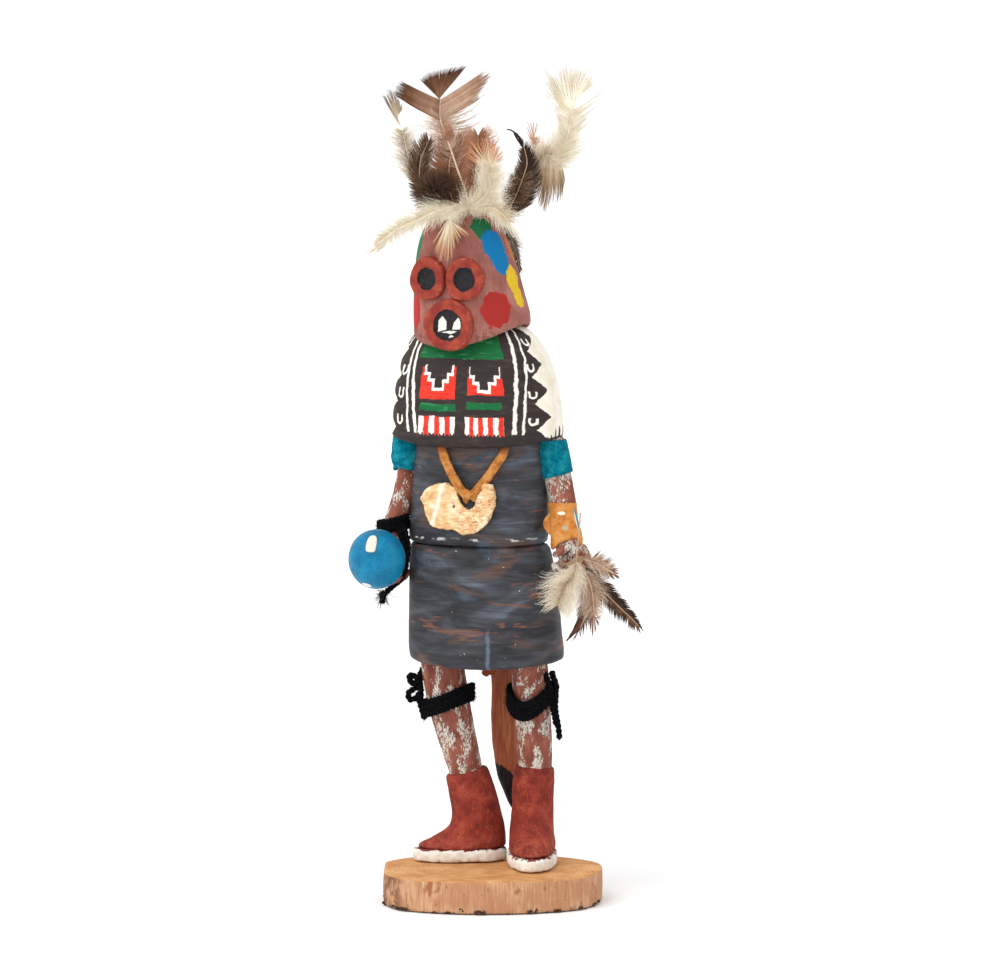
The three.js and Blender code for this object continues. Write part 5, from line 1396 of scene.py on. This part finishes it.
feathers = {
    "crest": {
        "node": "feather_crest", "slot": "brown_feather", "thick": 0.5,
        "quill": [(-4.2, -8.6, 277), (-5, -10.4, 283.3), (-7.7, -11.6, 291.9), (-11.4, -10.2, 300.7),
                  (-15.8, -6.4, 308.3), (-18.3, -4.2, 313.5), (-18.4, -3.5, 321.5)],
        "fans": [
            {"root": (0.97, 1), "count": 74, "shade": (0.35, 0.05), "bow": 0,
             "tips": [(-26.5, -6.5, 329), (-23.5, -5, 331.5), (-20, -3, 332.5), (-16, -1.5, 333.5),
                      (-12.5, 0, 334), (-8.5, 1, 334.5)]},
            {"root": (0.8, 0.97), "count": 70, "shade": (0.6, 0.12), "bow": 0.25, "loose": 0.1,
             "tips": [(-32.5, -12, 321), (-35, -12.5, 323), (-34.5, -12.5, 326), (-32.5, -11.5, 328)]},
            {"root": (0.8, 0.97), "count": 76, "shade": (0.7, 0.56), "bow": 0.15, "loose": 0.3,
             "tips": [(-4.5, 4.5, 321), (-3.5, 4.5, 324), (-1, 6, 328), (-0.5, 6, 331), (-3, 5.5, 332)]},
            {"root": (0.62, 0.86), "count": 38, "shade": (0.74, 0.4), "bow": 0.8, "loose": 1.3,
             "tips": [(-5, 3.5, 309), (-2, 5, 313), (-1, 5.5, 318), (0, 5.5, 324)]},
        ],
        "down": [{"root": (0.5, 0.86), "count": 560, "reach": 8.5, "shade": (0.7, 0.9)},
                 {"root": (0.36, 0.84), "count": 150, "reach": 14, "shade": (0.6, 0.9), "spread": 0.3}],
    },
    "grey": {
        "node": "feather_grey", "slot": "brown_feather", "thick": 0.5,
        "quill": [(-12, -8, 276), (-21, -11.4, 281), (-25.5, -13.5, 287.5), (-26, -14.5, 290.5),
                  (-27.5, -16.5, 299.5), (-29, -18, 308), (-31, -19, 314)],
        "fans": [
            {"root": (0.88, 1), "count": 56, "shade": (0.8, 0.35), "bow": 0.4, "loose": 0.6,
             "tips": [(-37, -23, 324), (-35, -21.5, 325.5), (-32.5, -20.5, 325), (-30, -19.5, 322.5),
                      (-28.5, -18, 318)]},
        ],
        "down": [{"root": (0.4, 0.84), "count": 800, "reach": 8, "shade": (0.6, 0.95)}],
        "look": "greyFeather",
    },
    "smoke": {
        "node": "feather_smoke", "slot": "dark_feather",
        "quill": [(-14.4, -9, 274.4), (-21.5, -16.5, 284), (-22, -17.5, 290.5), (-21.5, -17, 297.5),
                  (-19, -15, 304.5)],
        "fans": [
            {"root": (0.3, 0.98), "count": 100, "shade": (0.42, 0.3), "bow": 0.8, "loose": 0.8,
             "tips": [(-27, -18.5, 286), (-27.4, -18, 296), (-26, -17, 304), (-20, -15.5, 309)]},
            {"root": (0.3, 0.98), "count": 80, "shade": (0.42, 0.5), "bow": 0.8, "loose": 0.9,
             "tips": [(-17, -15.5, 287), (-16.5, -14.8, 295), (-16, -14, 302), (-18, -14.5, 307)]},
        ],
        "down": [{"root": (0.2, 1), "count": 700, "reach": 5.5, "shade": (0.36, 0.6)}],
    },
    "brown": {
        "node": "feather_brown", "slot": "brown_feather",
        "quill": [(-11.4, -6.4, 278.4), (-12.8, -8.6, 286), (-12.6, -8.2, 297), (-10.6, -7, 306)],
        "fans": [
            {"root": (0.1, 1), "count": 90, "shade": (0.42, 0.55), "bow": 0.5, "loose": 0.9,
             "tips": [(-23, -11, 284), (-24, -11, 294), (-20.5, -10, 303), (-14, -8, 309)]},
            {"root": (0.1, 1), "count": 90, "shade": (0.45, 0.6), "bow": 0.5, "loose": 0.9,
             "tips": [(-4, -4.4, 284), (-4.5, -4, 294), (-6.5, -5, 303), (-9, -6, 309)]},
        ],
        "down": [{"root": (0, 1), "count": 2200, "reach": 10.5, "shade": (0.4, 0.72), "spread": 0.26}],
        "look": "rustFeather",
    },
    "umber": {
        "node": "feather_umber", "slot": "brown_feather",
        "quill": [(-7.4, -0.4, 279), (-6.4, 2.6, 287), (-5.6, 4.6, 298), (-6, 6, 306)],
        "fans": [
            {"root": (0.1, 1), "count": 90, "shade": (0.4, 0.6), "bow": 0.5, "loose": 0.9,
             "tips": [(-14, 1, 285), (-14, 2, 296), (-10, 4, 306), (-7.6, 5, 310)]},
            {"root": (0.1, 1), "count": 90, "shade": (0.4, 0.66), "bow": 0.5, "loose": 0.9,
             "tips": [(-0.5, 6, 285), (0, 7.5, 296), (-1, 8, 306), (-3.5, 7, 311)]},
        ],
        "down": [{"root": (0, 1), "count": 2000, "reach": 10, "shade": (0.42, 0.76), "spread": 0.4}],
        "look": "rustFeather",
    },
    "fan": {
        "node": "feather_fan", "slot": "cream_feather", "face": (0.34, -0.94, 0.1), "thick": 0.45,
        "quill": [(-5.4, -9, 277), (-1.5, -14.6, 278.5), (4.6, -14.4, 283), (6.8, -14.6, 289), (7, -14.6, 295)],
        "fans": [
            {"root": (0.9, 1), "count": 74, "shade": (0.76, 0.22), "bow": 0.2, "loose": 0.9,
             "tips": [(-5, -17.5, 299.5), (-4.5, -17.5, 302), (-1.5, -16.5, 306), (3.5, -15, 308.5),
                      (7, -13.5, 307.5), (10, -12.5, 304.5), (12.5, -11.5, 300.5), (12, -11.5, 297.5)]},
        ],
        "down": [{"root": (0.1, 0.97), "count": 1800, "reach": 8.4, "shade": (0.84, 1)}],
    },
    "sweep": {
        "node": "feather_sweep", "slot": "cream_feather", "face": (-0.34, -0.9, 0.3),
        "quill": [(-4, -10.6, 277.6), (-5, -17.4, 279.5), (-12, -25, 277), (-19, -29, 273.5), (-25, -32, 270.5),
                  (-30.5, -34, 266.5), (-34, -35, 263)],
        "fans": [
            {"root": (0.8, 1), "count": 26, "shade": (0.9, 0.75), "bow": 0.6, "loose": 0.9,
             "tips": [(-30, -35, 262), (-36, -36, 259), (-38, -36.5, 259.5), (-40.5, -37.5, 258.5)]},
        ],
        "down": [{"root": (0, 0.96), "count": 2600, "reach": 6.2, "shade": (0.86, 1)},
                 {"root": (0, 0.45), "count": 1100, "reach": 9, "shade": (0.86, 1)}],
    },
    "brow": {
        "node": "feather_brow", "slot": "cream_feather", "face": (0.1, -0.9, 0.4), "thick": 0.35,
        "quill": [(-6.8, -12.4, 276.8), (-5.4, -20, 277.4), (-6, -25, 276), (-6.4, -27, 274)],
        "fans": [
            {"root": (0.7, 1), "count": 84, "shade": (0.85, 0.36), "bow": 0.4, "loose": 0.9,
             "tips": [(-14, -30.5, 262), (-11.5, -30.4, 259), (-9, -31, 256.6), (-6.5, -31, 255.6), (-4, -30.6, 257),
                      (-2, -29.8, 261), (0.5, -28, 265), (4, -25.5, 267)]},
        ],
        "down": [{"root": (0, 0.9), "count": 800, "reach": 5.6, "shade": (0.86, 1)}],
    },
    "cream": {
        "node": "feather_cream", "slot": "cream_feather", "face": (0.4, -0.8, 0.4),
        "quill": [(-2.4, -9.4, 276.4), (3.6, -14, 278), (9, -15.6, 278), (13, -15.6, 275), (15.6, -15.4, 272)],
        "fans": [
            {"root": (0.55, 1), "count": 40, "shade": (0.95, 0.84), "bow": 0.6, "loose": 1.2,
             "tips": [(9, -18.5, 266), (15, -17, 266.5), (19, -15.5, 264.5), (22, -14.5, 263), (24.6, -13.8, 264)]},
        ],
        "down": [{"root": (0, 0.9), "count": 1100, "reach": 6.4, "shade": (0.7, 0.98)}],
    },
    "horn": {
        "node": "feather_horn", "slot": "dark_feather", "thick": 0.45,
        "quill": [(3.6, -3.8, 273.6), (8.6, -2, 275), (11.8, -2, 280.5), (14, -2, 285), (16, -2.2, 290),
                  (17.8, -2.4, 296), (16.6, -3.4, 303)],
        "fans": [
            {"root": (0.2, 0.95), "count": 90, "shade": (0.24, 0.42), "bow": 0.8, "loose": 0.8,
             "tips": [(7.4, -5.5, 282), (9, -5, 288), (12.4, -5, 293), (14.2, -5, 298), (14.4, -4.6, 302)]},
            {"root": (0.2, 0.97), "count": 160, "shade": (0.1, 0.24), "bow": 0.8, "loose": 0.45,
             "tips": [(20.5, 0, 280), (23, 1, 286), (23.4, 1, 292), (22.4, 0, 298), (19, -2, 304), (12, -4.4, 309)]},
            {"root": (0.9, 1), "count": 30, "shade": (0.1, 0.05), "bow": -1.6, "loose": 0.3,
             "tips": [(15, -4, 304), (12, -4.6, 308.5), (9, -5.2, 309.6)]},
        ],
        "down": [{"root": (0, 0.7), "count": 1300, "reach": 7.5, "shade": (0.28, 0.8)}],
    },
    "white": {
        "node": "feather_white", "slot": "cream_feather", "thick": 0.5,
        "quill": [(3.8, 1.4, 271.6), (11.5, 4.8, 280), (20, 6.8, 289.5), (26.2, 8, 297.5), (30.4, 8.8, 305),
                  (32.6, 9, 313), (34, 9, 321)],
        "fans": [
            {"root": (0.8, 1), "count": 170, "shade": (1, 0.82), "bow": 0.2, "loose": 0.8,
             "tips": [(22.5, 4, 329), (23, 4, 334), (26, 5.5, 331), (29, 6, 335), (31.5, 8.5, 334.5),
                      (34.5, 9.5, 334), (37, 11.5, 333), (40.4, 12.4, 331), (41, 13, 327)]},
            {"root": (0.62, 0.9), "count": 50, "shade": (0.95, 0.84), "bow": 0.6, "loose": 1.2,
             "tips": [(27.5, 6, 311), (26, 5.5, 317), (23.5, 4.5, 321), (22.5, 4, 325)]},
            {"root": (0.62, 0.9), "count": 50, "shade": (0.95, 0.84), "bow": 0.6, "loose": 1.2,
             "tips": [(38.5, 12, 311), (41, 12.5, 316), (43.6, 12.8, 320), (44, 13.2, 324)]},
        ],
        "down": [{"root": (0.4, 0.9), "count": 700, "reach": 6.5, "shade": (0.92, 1)},
                 {"root": (0.36, 0.66), "count": 1300, "reach": 9.5, "shade": (0.88, 1)}],
    },
    "droop": {
        "node": "feather_droop", "slot": "cream_feather",
        "quill": [(3.4, 5, 271), (11, 10.8, 280), (17, 11.4, 291), (21, 7, 297.4), (25, 4.8, 298.6), (29, 6, 295)],
        "fans": [
            {"root": (0.62, 1), "count": 180, "shade": (0.68, 0.26), "bow": -0.5, "loose": 0.9,
             "tips": [(18.6, 4.8, 286), (19, 5, 277), (20.8, 5.6, 273.6), (23, 6, 274.6), (25.4, 6.8, 278.6),
                      (28, 8, 278.8), (29.6, 8.6, 282), (30, 9, 288)]},
        ],
        "down": [{"root": (0.3, 0.8), "count": 1300, "reach": 8.5, "shade": (0.6, 0.94)}],
        "look": "beigeFeather",
    },
    "spike": {
        "node": "feather_spike", "slot": "brown_feather",
        "quill": [(0.6, 8.4, 272), (8.5, 15, 282), (13, 17.5, 294), (14, 18, 302), (13.6, 17.8, 306)],
        "fans": [
            {"root": (0.76, 1), "count": 26, "shade": (0.95, 0.55), "bow": 0.2, "loose": 1.2,
             "tips": [(8.5, 16, 311), (11.5, 17, 314.5), (13.5, 17.5, 313.5), (16, 18.5, 312)]},
        ],
        "down": [{"root": (0.3, 0.9), "count": 400, "reach": 4.4, "shade": (0.6, 0.9)}],
        "look": "rustFeather",
    },
    "nape": {
        "node": "feather_nape", "slot": "dark_feather", "face": (0.6, 0.8, 0),
        "quill": [(-1, 9.4, 271.6), (4.2, 13.6, 267), (6.8, 15.8, 259), (8.2, 16.2, 252)],
        "fans": [
            {"root": (0.3, 1), "count": 50, "shade": (0.3, 0.1), "bow": 0.4, "loose": 0.9,
             "tips": [(8.6, 12.6, 263), (10.2, 13.6, 256), (10, 15.2, 250)]},
            {"root": (0.3, 1), "count": 50, "shade": (0.3, 0.1), "bow": 0.4, "loose": 0.9,
             "tips": [(0.4, 18, 262), (3, 19, 255), (8, 17.4, 248.6)]},
        ],
        "down": [{"root": (0, 0.7), "count": 800, "reach": 5, "shade": (0.4, 0.7)}],
        "look": "greyFeather",
    },
    "handQuill": {
        "node": "hand_feather_quill", "slot": "cream_feather", "face": (0.2, -0.97, 0), "thick": 0.32, "shaft": 0.5,
        "quill": [(42.6, -9, 158), (42.2, -9.2, 151), (41.4, -9.4, 143), (40.5, -9.4, 134.5), (36.5, -9.4, 128.5),
                  (33.4, -9.6, 121)],
        "fans": [
            {"root": (0.45, 0.62), "count": 26, "shade": (0.4, 0.3), "bow": 0.3, "loose": 0.3,
             "tips": [(47.5, -8, 139.5), (47.5, -8.5, 142), (46.5, -8.5, 143.5)]},
            {"root": (0.45, 0.62), "count": 26, "shade": (0.4, 0.3), "bow": 0.3, "loose": 0.3,
             "tips": [(35, -10.5, 135.5), (33.6, -10.8, 138), (34.4, -10.8, 140)]},
        ],
        "down": [{"root": (0.5, 1), "count": 1900, "reach": 9.5, "shade": (0.66, 1)}],
        "look": "beigeFeather",
    },
    "handDark": {
        "node": "hand_feather_dark", "slot": "dark_feather",
        "quill": [(41.4, -1, 137.4), (45, 1, 132), (48, 2.6, 126.4), (52.5, 5, 121), (58, 8, 115), (61, 9.4, 111.6)],
        "fans": [
            {"root": (0.3, 1), "count": 90, "shade": (0.3, 0.06), "bow": 0.6, "loose": 0.6,
             "tips": [(52.5, 5.4, 128.5), (57, 7.4, 122), (61, 9.4, 115), (63, 10.4, 109)]},
            {"root": (0.3, 1), "count": 80, "shade": (0.5, 0.2), "bow": 0.6, "loose": 0.8,
             "tips": [(46, 1.6, 121), (50.5, 4.2, 116), (56, 7.4, 111), (62, 10, 108)]},
        ],
        "down": [{"root": (0, 0.4), "count": 500, "reach": 5.4, "shade": (0.6, 0.8)}],
    },
    "handDown": {
        "node": "hand_feather_down", "slot": "brown_feather", "thick": 0.35,
        "quill": [(38.6, 1.2, 136.4), (40.4, 2.6, 129), (41, 3.6, 122), (40.4, 4, 115.5), (37.6, 3.6, 109)],
        "fans": [
            {"root": (0.5, 1), "count": 60, "shade": (0.2, 0.08), "bow": 0.6, "loose": 0.8,
             "tips": [(36.5, 2.6, 117), (35.4, 2.4, 110), (33, 2, 106), (32, 2, 104)]},
            {"root": (0.5, 1), "count": 44, "shade": (0.3, 0.12), "bow": 0.6, "loose": 1.1,
             "tips": [(43.6, 5, 118), (42.6, 5, 111), (39, 3.6, 106), (34, 2.2, 104.4)]},
        ],
        "down": [{"root": (0, 0.65), "count": 900, "reach": 6, "shade": (0.66, 0.9)}],
    },
    "handPale": {
        "node": "hand_feather_pale", "slot": "brown_feather", "thick": 0.35,
        "quill": [(42.2, -3.8, 134.4), (45, -3, 128.5), (46, -2.4, 121), (46, -1.6, 115)],
        "fans": [
            {"root": (0.5, 1), "count": 50, "shade": (0.5, 0.3), "bow": 0.4, "loose": 0.9,
             "tips": [(42.6, -3, 117), (43.6, -2.4, 111), (45.4, -1.4, 107.4), (48, -1, 112), (49.5, -0.6, 117)]},
        ],
        "down": [{"root": (0, 0.85), "count": 1000, "reach": 6.4, "shade": (0.6, 0.9)}],
    },
    "handSide": {
        "node": "hand_feather_side", "slot": "brown_feather", "thick": 0.3,
        "quill": [(43.2, -5.6, 139), (48, -5.2, 138), (52, -4.6, 135.6), (55, -4, 134)],
        "fans": [
            {"root": (0.2, 1), "count": 30, "shade": (0.5, 0.2), "bow": 0.4, "loose": 0.9,
             "tips": [(50, -4.4, 144), (54, -4, 141), (57.4, -3.4, 137), (58, -3.4, 133)]},
            {"root": (0.2, 1), "count": 30, "shade": (0.5, 0.2), "bow": 0.4, "loose": 0.9,
             "tips": [(49, -4.6, 132), (53, -4, 130.6), (56, -3.6, 130.6), (58, -3.2, 132)]},
        ],
        "down": [{"root": (0, 0.7), "count": 500, "reach": 5, "shade": (0.66, 0.9)}],
    },
}


def addFan(strands, quill, face, fan, chance):
    # a closed stretch of vane, parted into clumps as a worn vane is
    count, loose = fan["count"], fan.get("loose", barb["loose"])
    row = np.linspace(0, 1, count)
    roots = pointsOn(quill, fan["root"][0] + (fan["root"][1] - fan["root"][0]) * row)
    tips = pointsOn(fan["tips"], row)
    length = np.linalg.norm(tips - roots, axis=1, keepdims=True)
    clump = np.cumsum(chance.random(count) < 1 / barb["clump"])
    reach = 1 - 0.2 * loose * chance.random(clump[-1] + 1)[clump] - (0.05 + 0.1 * loose) * chance.random(count)
    lift = (chance.random(clump[-1] + 1)[clump] - 0.5) * barb["lift"] * loose
    lift = lift + (chance.random(count) - 0.5) * 0.5 * loose
    middles = np.array([tips[clump == clump[k]].mean(0) for k in range(count)])
    tips = tips + (middles - tips) * barb["gather"] * loose
    tips = roots + (tips - roots) * reach[:, None]
    s = np.linspace(0, 1, barb["stations"])[None, :, None]
    along = unit(np.gradient(pointsOn(quill, np.linspace(0, 1, 30)), axis=0).mean(0))
    bow = along[None, None, :] * fan.get("bow", 0) * length[:, None, :] * -0.1 * 4 * s * (1 - s)
    centres = roots[:, None] * (1 - s) + tips[:, None] * s + bow + np.asarray(face) * (lift[:, None, None] * s * s)
    gap = np.linalg.norm(np.gradient(centres, axis=0), axis=2)
    taper = np.clip((1.06 - s[..., 0]) * (3.2 - 2 * loose), 0.16, 1)
    width = np.clip(gap * 1.5, 0.2, barb["width"] * 1.3) * taper
    tone = 0.16 * (chance.random((count, 1)) - 0.5) + 0.12 * (chance.random(clump[-1] + 1)[clump][:, None] - 0.5)
    shade = fan["shade"][0] + (fan["shade"][1] - fan["shade"][0]) * s[..., 0] ** 1.4 + tone
    strands.add(centres, width, np.full_like(width, barb["thick"]) * taper, face, shade)


def addDown(strands, quill, face, down, chance):
    # fluff: fine wavy strands that leave the quill all round, mostly in the plane of the vane
    count = down["count"]
    places = down["root"][0] + (down["root"][1] - down["root"][0]) * chance.random(count)
    roots = pointsOn(quill, places)
    ahead = unit(pointsOn(quill, np.minimum(places + 0.02, 1)) - pointsOn(quill, np.maximum(places - 0.02, 0)))
    across = unit(np.cross(ahead, np.asarray(face)))
    side = np.where(chance.random(count) < 0.5, 1.0, -1.0)[:, None]
    spread = chance.normal(size=(count, 1)) * down.get("spread", fluff["spread"])
    heading = unit(across * side + np.asarray(face) * spread + ahead * (0.1 + 0.9 * chance.random((count, 1))))
    middle = np.sin(math.pi * (places - down["root"][0]) / (down["root"][1] - down["root"][0]))[:, None]
    length = down["reach"] * (0.25 + 0.9 * chance.random((count, 1)) ** 1.5) * (0.5 + 0.6 * middle)
    s = np.linspace(0, 1, fluff["stations"])[None, :, None]
    wobble = unit(chance.normal(size=(count, 1, 3)))
    other = unit(chance.normal(size=(count, 1, 3)))
    phase = chance.random((count, 1, 1)) * 6.28
    wave = wobble * np.sin(s * 5 + phase) + other * np.cos(s * 8 + phase)
    curl = ahead[:, None] * s * s * fluff["curl"] * length[:, None]
    wave = wave * s * fluff["wave"] * length[:, None]
    centres = roots[:, None] + heading[:, None] * s * length[:, None] + curl + wave
    width = fluff["width"] * (1 - 0.75 * s[..., 0]) * np.ones((count, 1))
    tone = 0.34 * (chance.random((count, 1)) - 0.5)
    shade = down["shade"][0] + (down["shade"][1] - down["shade"][0]) * s[..., 0] + tone
    strands.add(centres, width, width * fluff["thick"] / fluff["width"], face, shade)


def growFeather(name, feather, look, seed):
    feather = {**quillUsual, **feather}
    chance = np.random.default_rng(seed)
    strands = Strands()
    quill, face = feather["quill"], feather["face"]
    shaft = pointsOn(quill, np.linspace(0, 1, 28))[None]
    width = np.linspace(2 * feather["thick"], 0.3, 28)[None]
    strands.add(shaft, width, width * 0.85, face, np.full((1, 28), feather["shaft"]), sides=8)
    for fan in feather["fans"]:
        addFan(strands, quill, face, fan, chance)
    for down in feather["down"]:
        addDown(strands, quill, face, down, chance)
    settle(strands.piece("plume_" + name), feather["node"], feather["slot"], look)


def featherLook(name, glow, *stops):
    # stops of shade and colour, from the feather's darkest to its palest; glow is painted light: the feather's own
    # colour is emitted, in place of the light that shines through it
    f = Finish(name, roughness=0.75)
    shade = f.attribute("shade") + (f.noise(3) - 0.5) * 0.25
    colour = f.ramp(shade, *stops)
    f.colour(colour)
    f.tree.links.new(colour.socket, f.shader.inputs["Emission Color"])
    f.shader.inputs["Emission Strength"].default_value = glow
    return f.look


def setFeathers():
    looks = {
        "brown_feather": featherLook("brownFeather", 0.16, (0, 62, 38, 28), (0.3, 124, 86, 64),
                                     (0.6, 184, 148, 124), (1, 232, 216, 196)),
        "rustFeather": featherLook("rustFeather", 0.2, (0, 66, 44, 34), (0.3, 128, 88, 66),
                                   (0.55, 172, 126, 98), (0.85, 216, 166, 132), (1, 236, 214, 188)),
        "greyFeather": featherLook("greyFeather", 0.2, (0, 84, 72, 64), (0.35, 136, 122, 110),
                                   (0.65, 186, 168, 144), (1, 232, 220, 200)),
        "dark_feather": featherLook("darkFeather", 0.06, (0, 34, 25, 21), (0.3, 76, 55, 42),
                                    (0.6, 134, 102, 78), (1, 206, 184, 160)),
        "cream_feather": featherLook("creamFeather", 0.16, (0, 196, 110, 66), (0.35, 212, 156, 118),
                                     (0.62, 214, 190, 158), (0.8, 224, 212, 186), (1, 243, 237, 222)),
        "beigeFeather": featherLook("beigeFeather", 0.18, (0, 104, 76, 56), (0.35, 160, 132, 104),
                                    (0.65, 204, 184, 156), (1, 244, 238, 222)),
    }
    makeTuft(looks["dark_feather"])
    for seed, (name, feather) in enumerate(feathers.items()):
        growFeather(name, feather, looks[feather.get("look", feather["slot"])], seed)


setFeathers()
print("feathers set")
